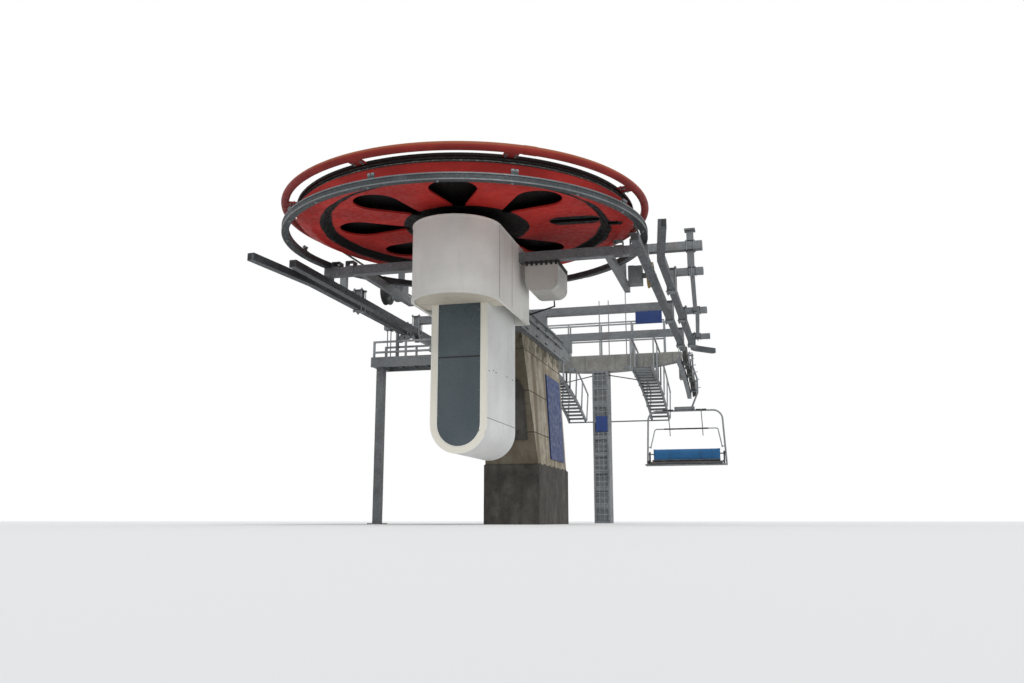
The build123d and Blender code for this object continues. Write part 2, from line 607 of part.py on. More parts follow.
# Left platform: deck between two channels, on a column at its outer end
deck_top = GIRDER_BOTTOM + DECK_THICKNESS
channel_z = (GIRDER_BOTTOM - PLATFORM_CHANNEL_DEPTH, deck_top)
platform = block(PLATFORM_X, PLATFORM_Y, (GIRDER_BOTTOM, deck_top))
for channel_y in ((PLATFORM_Y[0], PLATFORM_Y[0] + PLATFORM_CHANNEL), (PLATFORM_Y[1] - PLATFORM_CHANNEL, PLATFORM_Y[1])):
    platform += block(PLATFORM_X, channel_y, channel_z)
column_x = around(PLATFORM_COLUMN_X, PLATFORM_COLUMN_HALF)
platform += block(column_x, PLATFORM_Y, channel_z)
save("platform", platform)

platform_middle = sum(PLATFORM_Y) / 2
platform_column = block(column_x, around(platform_middle, PLATFORM_COLUMN_HALF), (0, channel_z[0]))
platform_column += block(
    around(PLATFORM_COLUMN_X, 2 * PLATFORM_COLUMN_HALF), around(platform_middle, 2 * PLATFORM_COLUMN_HALF),
    (0, PLATFORM_FOOT))
save("platform_column", platform_column)


def handrail(x, y, z, posts, levels):
    """Square posts along X on a floor, with level tubes through them."""
    half = RAIL_TUBE / 2
    rail = None
    for level in levels:
        tube = block((x[0] - half, x[1] + half), around(y, half), (z + level - RAIL_TUBE, z + level))
        rail = tube if rail is None else rail + tube
    for index in range(posts):
        post_x = x[0] + index * (x[1] - x[0]) / (posts - 1)
        rail += block(around(post_x, half), around(y, half), (z, z + levels[-1]))
    return rail


platform_rails = [
    handrail(
        (PLATFORM_X[0] + PLATFORM_CHANNEL, PLATFORM_X[1] - 2 * PLATFORM_CHANNEL), y, deck_top, PLATFORM_RAIL_POSTS,
        (PLATFORM_RAIL_HEIGHT / 2, PLATFORM_RAIL_HEIGHT))
    for y in (PLATFORM_Y[0] + PLATFORM_CHANNEL / 2, PLATFORM_Y[1] - PLATFORM_CHANNEL / 2)]
save("platform_rails", *platform_rails)


# Sheaves: twelve over the tower and two that support the rope behind the wheel
def sheave():
    """Sheave wheel with a shallow tread, turned about X at the origin."""
    half = SHEAVE_WIDTH / 2
    bore = SHEAVE_PIN_RADIUS + RUN_GAP
    hub, dish, web = 90, 180, 20
    side = [
        (bore, half), (hub, half), (hub, web), (dish, web), (dish, half), (SHEAVE_RADIUS, half),
        (SHEAVE_RADIUS, half - 20), (SHEAVE_TREAD_RADIUS, half - 35)]
    profile = side + [(radius, -height) for radius, height in reversed(side)]
    face = Plane.XZ * make_face(Polyline(*profile, close=True))
    return Rot(0, 90, 0) * revolve(face, Axis.Z, 360)


sheave_solid = sheave()
support_spot = (SUPPORT_SHEAVE_Y, ROPE_HEIGHT - SHEAVE_DROP)
for side_name, side in (("right", 1), ("left", -1)):
    for index in range(SHEAVE_COUNT):
        spot = on_arc(SHEAVE_FIRST + index * SHEAVE_PITCH, SHEAVE_DROP)
        save("sheave_" + side_name + "_" + str(index + 1), Pos(side * ROPE_HALF_GAUGE, *spot) * sheave_solid)
    save("support_sheave_" + side_name, Pos(side * ROPE_HALF_GAUGE, *support_spot) * sheave_solid)

# Brackets that carry the two support sheaves at the carriers' rear ends
pin_end = ROPE_HALF_GAUGE + SHEAVE_WIDTH / 2 + SHEAVE_PIN_RADIUS
collar_end = ROPE_HALF_GAUGE - SHEAVE_WIDTH / 2 - RUN_GAP
support = block(SUPPORT_BOX_X, around(SUPPORT_SHEAVE_Y, 120), around(support_spot[1], 170))
support += block((SUPPORT_BOX_X[0], SUPPORT_BOX_X[0] + 100), around(SUPPORT_SHEAVE_Y, 60), (support_spot[1], ROPE_HEIGHT - 50))
support += rod((SUPPORT_BOX_X[1], *support_spot), (collar_end, *support_spot), 2 * SHEAVE_PIN_RADIUS)
support += rod((collar_end, *support_spot), (pin_end, *support_spot), SHEAVE_PIN_RADIUS)
save("support_brackets", support, mirrored(support))

# Battery on each side of the tower: a beam along the rope's arc and three rockers
beam_s = (SHEAVE_FIRST - 150, SHEAVE_FIRST + SHEAVE_PITCH * (SHEAVE_COUNT - 1) + 150)
battery_beam = across(arc_band(beam_s, around(PIVOT_DROP, BATTERY_BEAM_HALF)), BATTERY_BEAM_X)
save("battery_beams", battery_beam, mirrored(battery_beam))

rockers = []
plates_x = [(x, x + ROCKER_PLATE) for x in (ROCKER_INNER_X, ROCKER_OUTER_X)]
for pair in range(SHEAVE_COUNT // 2):
    first_s = SHEAVE_FIRST + 2 * pair * SHEAVE_PITCH
    spots = [on_arc(first_s, SHEAVE_DROP), on_arc(first_s + SHEAVE_PITCH, SHEAVE_DROP)]
    pivot = on_arc(first_s + SHEAVE_PITCH / 2, PIVOT_DROP)
    plate = round_hull([(*spots[0], 55), (*spots[1], 55), (*pivot, 75)])
    rocker = rod((BATTERY_BEAM_X[1], *pivot), (plates_x[1][1] + ROCKER_PLATE, *pivot), 40)
    for plate_x in plates_x:
        rocker += across(plate, plate_x)
    for spot in spots:
        rocker += rod((plates_x[0][0], *spot), (plates_x[1][1] + ROCKER_PLATE, *spot), SHEAVE_PIN_RADIUS)
    rockers.append(rocker)
save("rockers", *rockers, *[mirrored(rocker) for rocker in rockers])

# Tower column with recessed panels, and the cross-head with its bowed underside
column_y = around(TOWER_Y, TOWER_COLUMN_Y / 2)
tower_column = block(around(0, TOWER_COLUMN_X / 2), column_y, (0, TOWER_COLUMN_HEIGHT))
recess_x = around(0, TOWER_COLUMN_X / 2 - RECESS_MARGIN)
recess_pitch = TOWER_COLUMN_HEIGHT / RECESS_COUNT
for index in range(RECESS_COUNT):
    recess_z = (index * recess_pitch + RECESS_MARGIN, (index + 1) * recess_pitch - RECESS_MARGIN)
    tower_column -= block(recess_x, (column_y[0], column_y[0] + RECESS_DEPTH), recess_z)
    tower_column -= block(recess_x, (column_y[1] - RECESS_DEPTH, column_y[1]), recess_z)
save("tower_column", tower_column)
save("tower_plate", block(PLATE_X, (column_y[0] - PLATE_THICKNESS, column_y[0]), PLATE_Z))

crosshead_edge = Polyline(
    (CROSSHEAD_HALF, CROSSHEAD_END_BOTTOM), (CROSSHEAD_HALF, CROSSHEAD_TOP),
    (-CROSSHEAD_HALF, CROSSHEAD_TOP), (-CROSSHEAD_HALF, CROSSHEAD_END_BOTTOM))
crosshead_bow = ThreePointArc(
    (-CROSSHEAD_HALF, CROSSHEAD_END_BOTTOM), (0, TOWER_COLUMN_HEIGHT), (CROSSHEAD_HALF, CROSSHEAD_END_BOTTOM))
crosshead_y = around(TOWER_Y, CROSSHEAD_HALF_Y)
crosshead = along(make_face([crosshead_edge, crosshead_bow]), crosshead_y)
crosshead += block(around(0, TOWER_COLUMN_X / 2), crosshead_y, (TOWER_COLUMN_HEIGHT, CROSSHEAD_TOP))
hanger_z = (on_arc((beam_s[0] + beam_s[1]) / 2, PIVOT_DROP + BATTERY_BEAM_HALF)[1], CROSSHEAD_TOP)
for side in (-1, 1):
    plate_x = sorted((side * CROSSHEAD_HALF, side * BATTERY_BEAM_X[0]))
    crosshead += block(plate_x, crosshead_y, hanger_z)
save("tower_crosshead", crosshead)

tower_rail_levels = (TOWER_RAIL_HEIGHT / 2, TOWER_RAIL_HEIGHT)
tower_rails = [
    handrail(around(0, TOWER_RAIL_HALF), TOWER_Y + side * (CROSSHEAD_HALF_Y - RAIL_TUBE), CROSSHEAD_TOP,
        TOWER_RAIL_POSTS, tower_rail_levels)
    for side in (-1, 1)]
lift_rods = [rod((x, TOWER_Y, CROSSHEAD_TOP), (x, TOWER_Y, top), ROD_RADIUS) for x, top in RODS]
save("tower_rails", *tower_rails, *lift_rods)

# Stepped catwalk beside each battery, hung from the cross-head
tread_pitch = (CATWALK_S[1] - CATWALK_S[0]) / CATWALK_TREADS
stringers_x = ((CATWALK_X[0], CATWALK_X[0] + STRINGER), (CATWALK_X[1] - STRINGER, CATWALK_X[1]))
catwalk = None
for stringer_x in stringers_x:
    band = across(arc_band(CATWALK_S, (CATWALK_DROP, CATWALK_DROP + STRINGER_DEPTH)), stringer_x)
    catwalk = band if catwalk is None else catwalk + band
for index in range(CATWALK_TREADS):
    tread_y, tread_z = on_arc(CATWALK_S[0] + (index + 0.5) * tread_pitch, CATWALK_DROP + STRINGER_DEPTH / 2)
    catwalk += block(CATWALK_X, around(tread_y, TREAD_DEPTH / 2), around(tread_z, TREAD_THICKNESS / 2))
hanger_foot = on_arc(TOWER_Y - ARC_START_Y, CATWALK_DROP + STRINGER_DEPTH)[1]
for post_y in ((crosshead_y[0] - STRINGER, crosshead_y[0]), (crosshead_y[1], crosshead_y[1] + STRINGER)):
    for post_x in stringers_x:
        catwalk += block(post_x, post_y, (hanger_foot, CROSSHEAD_TOP - STRINGER))
catwalk -= block(CATWALK_X, crosshead_y, (hanger_foot + STRINGER_DEPTH + STRINGER, CROSSHEAD_TOP))
save("catwalks", catwalk, mirrored(catwalk))

# Handrails with their posts on the outer faces of the stringers
catwalk_rails = []
for outer_x in ((CATWALK_X[0] - RAIL_TUBE, CATWALK_X[0]), (CATWALK_X[1], CATWALK_X[1] + RAIL_TUBE)):
    rail_drop = CATWALK_DROP - HANDRAIL_RISE
    rail = across(arc_band(CATWALK_S, (rail_drop, rail_drop + RAIL_TUBE)), outer_x)
    for index in range(CATWALK_POSTS):
        share = 0.01 + 0.98 * index / (CATWALK_POSTS - 1)
        at = CATWALK_S[0] + share * (CATWALK_S[1] - CATWALK_S[0])
        foot = on_arc(at, CATWALK_DROP + STRINGER_DEPTH - RAIL_TUBE)
        head = on_arc(at, rail_drop + RAIL_TUBE / 2)
        rail += square_bar((sum(outer_x) / 2, *foot), (sum(outer_x) / 2, *head), RAIL_TUBE)
    catwalk_rails += [rail, mirrored(rail)]
save("catwalk_rails", *catwalk_rails)

# Cross tie under the catwalks' lower ends, and a stay from the column to each catwalk
tie_y, tie_z = on_arc(CATWALK_S[1] - STRINGER, CATWALK_DROP + STRINGER_DEPTH + TIE_RADIUS)
tie = rod((-CATWALK_X[1], tie_y, tie_z), (CATWALK_X[1], tie_y, tie_z), TIE_RADIUS)
stay_head = (0, TOWER_Y, TOWER_COLUMN_HEIGHT - STRINGER)
stay_foot = (CATWALK_X[0] + STRINGER, TOWER_Y, hanger_foot + STRINGER_DEPTH / 2)
stay = rod(stay_head, stay_foot, STAY_RADIUS)
stay -= block(around(0, TOWER_COLUMN_X / 2), column_y, (0, TOWER_COLUMN_HEIGHT))
stay -= block((CATWALK_X[0], CATWALK_X[1]), column_y, (0, TOWER_COLUMN_HEIGHT))
save("catwalk_ties", tie, stay, mirrored(stay))

# Grip on the rope
chair_y, chair_z = on_arc(CHAIR_S, 0)
rope_slope = degrees(CHAIR_S / ARC_RADIUS)
grip = Box(GRIP_WIDTH, GRIP_LENGTH, GRIP_WIDTH)
grip -= Rot(90, 0, 0) * Cylinder(ROPE_RADIUS + RUN_GAP, 2 * GRIP_LENGTH)
grip = Pos(ROPE_HALF_GAUGE, chair_y, chair_z) * Rot(-rope_slope, 0, 0) * grip
pin_start = ROPE_HALF_GAUGE + GRIP_WIDTH / 2
grip += rod((pin_start, chair_y, chair_z), (pin_start + GRIP_PIN_LENGTH, chair_y, chair_z), GRIP_PIN_RADIUS)
save("grip", grip)


def chair_point(x, y, drop):
    """Point on the chair, from its middle line at the rope."""
    return (CHAIR_X + x, chair_y + y, chair_z - drop)


def chair_block(x, y, drop):
    """Box on the chair, with its height given as two drops."""
    low, high = chair_point(x[0], y[0], drop[1]), chair_point(x[1], y[1], drop[0])
    return block((low[0], high[0]), (low[1], high[1]), (low[2], high[2]))


# Hanger: eye on the grip's pin, bowed tube past the sheaves, head block over the bail
hanger_x = CHAIR_SET + HANGER_OFFSET
hanger = bent_rod([chair_point(hanger_x + x, 0, drop) for x, drop in HANGER_PATH], HANGER_TUBE, HANGER_BEND)
eye_x = around(hanger_x, EYE_HALF_WIDTH)
hanger += rod(chair_point(eye_x[0], 0, 0), chair_point(eye_x[1], 0, 0), EYE_RADIUS)
hanger += chair_block(
    around(0, HEAD_HALF_WIDTH_CHAIR), around(0, 55), (HEAD_DROP, BAIL_DROP - FRAME_TUBE))
hanger -= rod(chair_point(eye_x[0] - 5, 0, 0), chair_point(eye_x[1] + 5, 0, 0), GRIP_PIN_RADIUS + RUN_GAP)
save("chair_hanger", hanger)

# Bail and seat frame
frame = bent_rod([
    chair_point(-LEG_FOOT_HALF, SEAT_BACK_SET - SEAT_ARM, FRAME_DROP),
    chair_point(-LEG_FOOT_HALF, SEAT_BACK_SET, FRAME_DROP),
    chair_point(-LEG_TOP_HALF, 0, BAIL_DROP),
    chair_point(LEG_TOP_HALF, 0, BAIL_DROP),
    chair_point(LEG_FOOT_HALF, SEAT_BACK_SET, FRAME_DROP),
    chair_point(LEG_FOOT_HALF, SEAT_BACK_SET - SEAT_ARM, FRAME_DROP),
], FRAME_TUBE, FRAME_BENDS)
for reach in SEAT_RAIL_REACHES:
    frame += rod(
        chair_point(-LEG_FOOT_HALF, SEAT_BACK_SET + reach, FRAME_DROP),
        chair_point(LEG_FOOT_HALF, SEAT_BACK_SET + reach, FRAME_DROP), SEAT_RAIL_RADIUS)
pin_share = (BAR_PIVOT_DROP - BAIL_DROP) / (FRAME_DROP - BAIL_DROP)
bar_pivot_y = pin_share * SEAT_BACK_SET
leg_half = LEG_TOP_HALF + pin_share * (LEG_FOOT_HALF - LEG_TOP_HALF)
for side in (-1, 1):
    frame += rod(
        chair_point(side * leg_half, bar_pivot_y, BAR_PIVOT_DROP),
        chair_point(side * (leg_half - 105), bar_pivot_y, BAR_PIVOT_DROP), BAR_PIN_RADIUS)
rail_share = (BACK_RAIL_DROP - BAIL_DROP) / (FRAME_DROP - BAIL_DROP)
rail_half = LEG_TOP_HALF + rail_share * (LEG_FOOT_HALF - LEG_TOP_HALF)
back_rail_y = SEAT_BACK_SET + 45 + RUN_GAP + BACK_RAIL_RADIUS
frame += bent_rod([
    chair_point(-rail_half, rail_share * SEAT_BACK_SET, BACK_RAIL_DROP),
    chair_point(-rail_half, back_rail_y, BACK_RAIL_DROP),
    chair_point(rail_half, back_rail_y, BACK_RAIL_DROP),
    chair_point(rail_half, rail_share * SEAT_BACK_SET, BACK_RAIL_DROP),
], BACK_RAIL_RADIUS, 40)
save("chair_frame", frame)

# Seat pan, seat pad and backrest
seat_y = (SEAT_BACK_SET - SEAT_ARM, SEAT_BACK_SET + 60)
save("seat_pan", chair_block(around(0, PAN_HALF), seat_y, (PAN_TOP, FRAME_DROP - SEAT_RAIL_RADIUS)))
save("seat_pad", chair_block(
    around(0, PAD_HALF), (seat_y[0] + 10, seat_y[1] - 80), (PAN_TOP - PAD_THICKNESS, PAN_TOP - RUN_GAP)))
save("backrest", chair_block(
    around(0, PAD_HALF), (seat_y[1] - 75, seat_y[1] - 15), (PAN_TOP - BACKREST_HEIGHT, PAN_TOP - RUN_GAP)))

# Restraint bar, raised: two arms, the cross bar and two footrests
arm_half = leg_half - 85
bar_y = bar_pivot_y + BAR_LEAN
bar_drop = BAR_PIVOT_DROP - BAR_RISE
restraint = bent_rod([
    chair_point(-arm_half, bar_pivot_y, BAR_PIVOT_DROP),
    chair_point(-BAR_HALF, bar_y, bar_drop),
    chair_point(BAR_HALF, bar_y, bar_drop),
    chair_point(arm_half, bar_pivot_y, BAR_PIVOT_DROP),
], BAR_TUBE, 70)
for side in (-1, 1):
    restraint += rod(
        chair_point(side * (arm_half - 18), bar_pivot_y, BAR_PIVOT_DROP),
        chair_point(side * (arm_half + 18), bar_pivot_y, BAR_PIVOT_DROP), 30)
    restraint += bent_rod([
        chair_point(side * FOOTREST_X, bar_y + 60, bar_drop + 200),
        chair_point(side * FOOTREST_X, bar_y, bar_drop),
        chair_point(side * FOOTREST_X, bar_y - FOOTREST_REACH[0], bar_drop - FOOTREST_REACH[1]),
    ], STRUT_RADIUS, 60)
    restraint += rod(
        chair_point(side * FOOTREST_X - 150, bar_y - FOOTREST_REACH[0], bar_drop - FOOTREST_REACH[1]),
        chair_point(side * FOOTREST_X + 150, bar_y - FOOTREST_REACH[0], bar_drop - FOOTREST_REACH[1]),
        FOOTREST_RADIUS)
for side in (-1, 1):
    restraint -= rod(
        chair_point(side * (arm_half - 30), bar_pivot_y, BAR_PIVOT_DROP),
        chair_point(side * (arm_half + 30), bar_pivot_y, BAR_PIVOT_DROP), BAR_PIN_RADIUS + RUN_GAP)
save("restraint_bar", restraint)
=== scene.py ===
"""Dresses the chairlift's end station, its ropes, the line tower and the chair."""

import json
import logging
import math
from dataclasses import dataclass
from enum import Enum
from typing import Optional, Sequence

import bmesh
import bpy
from mathutils import Matrix, Vector

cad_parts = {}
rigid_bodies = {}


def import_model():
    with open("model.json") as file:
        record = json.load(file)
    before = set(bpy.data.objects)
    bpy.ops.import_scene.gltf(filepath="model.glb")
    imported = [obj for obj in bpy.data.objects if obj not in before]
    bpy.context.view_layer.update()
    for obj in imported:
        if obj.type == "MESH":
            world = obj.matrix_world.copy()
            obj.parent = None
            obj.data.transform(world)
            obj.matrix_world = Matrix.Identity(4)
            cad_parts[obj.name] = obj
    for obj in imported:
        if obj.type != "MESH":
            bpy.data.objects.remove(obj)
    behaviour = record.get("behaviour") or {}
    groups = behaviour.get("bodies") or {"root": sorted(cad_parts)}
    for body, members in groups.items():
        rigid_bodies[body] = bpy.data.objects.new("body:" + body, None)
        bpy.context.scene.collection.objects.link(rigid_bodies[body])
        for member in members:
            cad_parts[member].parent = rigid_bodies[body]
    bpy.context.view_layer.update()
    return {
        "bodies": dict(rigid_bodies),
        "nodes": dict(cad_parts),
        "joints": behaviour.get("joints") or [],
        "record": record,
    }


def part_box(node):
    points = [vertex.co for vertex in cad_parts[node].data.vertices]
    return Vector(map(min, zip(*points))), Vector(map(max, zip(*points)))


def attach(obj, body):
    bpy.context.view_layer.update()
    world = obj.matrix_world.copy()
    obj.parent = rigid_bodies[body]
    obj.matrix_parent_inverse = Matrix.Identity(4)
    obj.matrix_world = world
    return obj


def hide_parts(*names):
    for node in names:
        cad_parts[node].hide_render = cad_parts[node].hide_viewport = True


LOG = logging.getLogger("chairlift")

Point = tuple[float, float, float]
Colour = tuple[float, float, float]
Socket = bpy.types.NodeSocket
FINISH_PREFIX = "finish_"
FRONT: Point = (0.0, -1.0, 0.0)

# Driving sizes shared with the part's source, in metres
WHEEL_Y = -4.115
ROPE_Z = 4.75
ROPE_X = 2.6
ROPE_RADIUS = 0.02
ARC_START_Y = 6.885
ARC_RADIUS = 18.4
ROPE_END_S = 4.7
SHEAVE_START = 0.5
SHEAVE_PITCH = 0.72
SHEAVES_PER_SIDE = 6
SUPPORT_Y = -1.115
SHEAVE_DROP = 0.2458
INNER_RAIL_X = 2.75
OUTER_RAIL_X = 3.01
REAR_BEAMS_Y = (0.96, 3.68)
# Y, underside and outer end of each stub
STUBS = ((-1.5, 4.36, 3.57), (0.96, 4.21, 3.50), (3.68, 4.21, 3.43))
STUB_HEIGHT = 0.11
REAR_BEAM_TOP = 4.47
CHAIR_X = 2.45
CHAIR_S = 1.58


def on_arc(along: float, drop: float) -> tuple[float, float]:
    """Finds a place on the rope's arc over the tower.

    Args:
        along: Distance along the arc from its start.
        drop: Distance below the rope.

    Returns:
        Its Y and Z.
    """
    turn = along / ARC_RADIUS
    reach = ARC_RADIUS - drop
    return ARC_START_Y + reach * math.sin(turn), ROPE_Z - ARC_RADIUS + reach * math.cos(turn)


def on_wheel(radius: float, turn: float) -> tuple[float, float]:
    """Finds X and Y at a radius and a direction in radians from +X round the wheel's axis."""
    return radius * math.cos(turn), WHEEL_Y + radius * math.sin(turn)


def scaled(colour: Colour, factor: float) -> Colour:
    """Makes a colour darker or lighter by a factor."""
    return tuple(channel * factor for channel in colour)


CHAIR_Y, CHAIR_Z = on_arc(CHAIR_S, 0.0)


class Body(Enum):
    """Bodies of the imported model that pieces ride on."""

    STATION = "station"
    WHEEL = "bullwheel"
    CHAIR = "chair"
    RESTRAINT = "restraint"


class Nodes:
    """Node tree with short calls for its nodes and links."""

    def __init__(self, tree: bpy.types.NodeTree) -> None:
        """Takes the tree that the nodes go into."""
        self.tree = tree

    def link(self, value: object, socket: Socket) -> None:
        """Feeds a socket from another socket or sets it to a fixed value.

        Args:
            value: The other socket or the value.
            socket: The socket that gets it.
        """
        if isinstance(value, bpy.types.NodeSocket):
            self.tree.links.new(value, socket)
        else:
            socket.default_value = value

    def add(self, kind: str, inputs: dict[str | int, object], **settings: object) -> bpy.types.Node:
        """Adds one node.

        Args:
            kind: Type of the node.
            inputs: Source or fixed value of each input, by its name or number.
            settings: Properties of the node.

        Returns:
            The node.
        """
        node = self.tree.nodes.new(kind)
        for label, value in settings.items():
            setattr(node, label, value)
        for label, value in inputs.items():
            self.link(value, node.inputs[label])
        return node

    def math(self, kind: str, left: "Socket | float", right: "Socket | float" = 0.0) -> Socket:
        """Adds one arithmetic node."""
        return self.add("ShaderNodeMath", {0: left, 1: right}, operation=kind).outputs["Value"]


class Graph(Nodes):
    """Node graph of one material, with short calls for its usual nodes."""

    def __init__(self, name: str, metallic: float) -> None:
        """Starts a material.

        Args:
            name: Name of the material.
            metallic: How metallic the surface is.
        """
        self.material = bpy.data.materials.new(FINISH_PREFIX + name)
        self.material.use_nodes = True
        super().__init__(self.material.node_tree)
        self.shader = self.tree.nodes["Principled BSDF"]
        self.shader.inputs["Metallic"].default_value = metallic
        self.coordinates = self.tree.nodes.new("ShaderNodeTexCoord")
        self.place = self.coordinates.outputs["Object"]

    def mapped(self, scale: Point, location: Point = (0.0, 0.0, 0.0), turn: float = 0.0) -> Socket:
        """Gives object coordinates scaled, turned about Z and moved."""
        return self.add("ShaderNodeMapping", {
            "Vector": self.place, "Scale": scale, "Rotation": (0.0, 0.0, turn),
            "Location": location}).outputs["Vector"]

    def noise(self, scale: float, detail: float = 4.0, drawn: float = 1.0) -> Socket:
        """Adds fractal noise.

        Args:
            scale: Features per metre.
            detail: Octaves of detail.
            drawn: Scale upwards. Below 1 it draws the features into runs.

        Returns:
            The noise value.
        """
        return self.add("ShaderNodeTexNoise", {
            "Vector": self.mapped((1.0, 1.0, drawn)), "Scale": scale, "Detail": detail}).outputs["Fac"]

    def patches(
            self, scale: float, detail: float, low: float, high: float, share: float = 1.0,
            drawn: float = 1.0) -> Socket:
        """Gives cloudy patches.

        Args:
            scale: Features per metre.
            detail: Octaves of detail.
            low: Noise value at which a patch begins.
            high: Noise value at which it is full.
            share: Value of a full patch.
            drawn: Scale upwards, as in noise.

        Returns:
            The patches as a share for a blend.
        """
        return self.remap(self.noise(scale, detail, drawn), low, high, 0.0, share)

    def voronoi(self, scale: float, output: str) -> Socket:
        """Gives one output of a Voronoi pattern."""
        return self.add("ShaderNodeTexVoronoi", {"Vector": self.place, "Scale": scale}).outputs[output]

    def cells(self, scale: float) -> Socket:
        """Gives a flat value for each cell of a Voronoi pattern."""
        split = self.add("ShaderNodeSeparateColor", {"Color": self.voronoi(scale, "Color")})
        return split.outputs["Red"]

    def waves(self, scale: float, direction: str = "X", distortion: float = 0.0) -> Socket:
        """Adds straight bands along one axis."""
        return self.add(
            "ShaderNodeTexWave", {"Vector": self.place, "Scale": scale, "Distortion": distortion},
            wave_type="BANDS", bands_direction=direction).outputs["Fac"]

    def split(self, vector: Socket) -> bpy.types.bpy_prop_collection:
        """Gives a vector's parts by axis."""
        return self.add("ShaderNodeSeparateXYZ", {"Vector": vector}).outputs

    def length(self, vector: Socket) -> Socket:
        """Gives a vector's length."""
        return self.add("ShaderNodeVectorMath", {0: vector}, operation="LENGTH").outputs["Value"]

    def distance(self, centre: Point, axes: Point) -> Socket:
        """Gives the distance from a centre, counted on the axes that are 1."""
        return self.length(self.mapped(axes, tuple(-at * share for at, share in zip(centre, axes))))

    def reach_from_slot(self, centre: tuple[float, float], turn: float, middle: float, half: float) -> Socket:
        """Gives the distance from a straight slot that lies radially about an upright axis.

        Args:
            centre: X and Y of the axis.
            turn: Direction of the slot in degrees from +X.
            middle: Distance of the slot's middle from the axis.
            half: Half length of its straight part.

        Returns:
            The distance from that straight part.
        """
        angle = math.radians(turn)
        x = centre[0] * math.cos(angle) + centre[1] * math.sin(angle) + middle
        y = centre[1] * math.cos(angle) - centre[0] * math.sin(angle)
        parts = self.split(self.mapped((1.0, 1.0, 0.0), (-x, -y, 0.0), -angle))
        past = self.math("SUBTRACT", self.math("ABSOLUTE", parts["X"]), half)
        joined = self.add("ShaderNodeCombineXYZ", {"X": self.math("MAXIMUM", past), "Y": parts["Y"]})
        return self.length(joined.outputs["Vector"])

    def lines(self, axis: str, start: float, pitch: float, width: float) -> Socket:
        """Gives 1 on thin lines that repeat along one axis and 0 between them.

        Args:
            axis: Name of the axis.
            start: Place of one line on it.
            pitch: Distance between the lines.
            width: Width over which a line fades out on each side.

        Returns:
            The mask.
        """
        wrap = self.add("ShaderNodeMath", {
            0: self.split(self.place)[axis], 1: start + pitch / 2, 2: start - pitch / 2}, operation="WRAP")
        away = self.math("ABSOLUTE", self.math("SUBTRACT", wrap.outputs["Value"], start))
        return self.remap(away, width / 2, width, 1.0, 0.0)

    def facing(self, way: Point, low: float, high: float) -> Socket:
        """Gives a mask of the faces that point one way in the part's frame.

        Args:
            way: Unit direction.
            low: Agreement with the direction at which the mask is 0.
            high: Agreement at which it is 1.

        Returns:
            The mask.
        """
        agreement = self.add(
            "ShaderNodeVectorMath", {0: self.coordinates.outputs["Normal"], 1: way}, operation="DOT_PRODUCT")
        return self.remap(agreement.outputs["Value"], low, high)

    def height(self, low: float, high: float) -> Socket:
        """Gives 0 below one height and 1 above another."""
        return self.remap(self.split(self.place)["Z"], low, high)

    def remap(
            self, value: Socket, low: float, high: float, to_low: float = 0.0,
            to_high: float = 1.0) -> Socket:
        """Maps a range of a value to another range and clamps it."""
        return self.add("ShaderNodeMapRange", {
            "Value": value, "From Min": low, "From Max": high, "To Min": to_low, "To Max": to_high},
            interpolation_type="SMOOTHSTEP").outputs["Result"]

    def blend(self, share: Socket, low: "Socket | Colour", high: "Socket | Colour") -> Socket:
        """Mixes two colours by a share."""
        first, second = (
            value if isinstance(value, bpy.types.NodeSocket) else (*value, 1.0) for value in (low, high))
        return self.add("ShaderNodeMix", {"Factor": share, 6: first, 7: second}, data_type="RGBA").outputs[2]

    def colour(self, value: Socket) -> None:
        """Sets the surface's colour."""
        self.link(value, self.shader.inputs["Base Color"])

    def roughness(self, scale: float, detail: float, low: float, high: float) -> None:
        """Lets the roughness vary with noise between two limits."""
        value = self.remap(self.noise(scale, detail), 0.3, 0.7, low, high)
        self.link(value, self.shader.inputs["Roughness"])

    def bump(self, *layers: tuple[Socket, float, float]) -> None:
        """Stacks bump layers.

        Args:
            layers: Height, strength and depth in metres of each layer.
        """
        below: dict[str | int, object] = {}
        for height, strength, depth in layers:
            node = self.add("ShaderNodeBump", {
                "Strength": strength, "Distance": depth, "Height": height, **below})
            below = {"Normal": node.outputs["Normal"]}
        self.link(below["Normal"], self.shader.inputs["Normal"])


@dataclass(frozen=True)
class Paint:
    """Outdoor paint with fading, dirt runs and small chips."""

    name: str
    base: Colour
    grime: Colour
    grime_share: float = 0.5
    gloss: float = 0.38
    chips: float = 0.0
    front: Optional[Colour] = None

    def make(self) -> bpy.types.Material:
        """Builds the material.

        Returns:
            The material.
        """
        graph = Graph(self.name, 0.0)
        faded = tuple(min(1.0, channel * 1.18 + 0.015) for channel in self.base)
        tone = graph.blend(graph.patches(0.9, 5.0, 0.35, 0.7), self.base, faded)
        runs = graph.patches(7.0, 6.0, 0.5, 0.78, self.grime_share, 0.12)
        spots = graph.patches(38.0, 5.0, 0.56, 0.74, self.grime_share * 0.7)
        tone = graph.blend(graph.math("MAXIMUM", runs, spots), tone, self.grime)
        if self.chips:
            tone = graph.blend(graph.patches(60.0, 8.0, 0.7, 0.74, self.chips), tone, (0.16, 0.10, 0.07))
        if self.front:
            tone = graph.blend(graph.facing(FRONT, 0.6, 0.9), tone, self.front)
        graph.colour(tone)
        graph.roughness(14.0, 4.0, self.gloss - 0.08, self.gloss + 0.2)
        graph.shader.inputs["Specular IOR Level"].default_value = 0.35
        graph.bump((graph.noise(160.0, 3.0), 0.06, 0.001), (graph.noise(5.0, 3.0), 0.06, 0.008))
        return graph.material


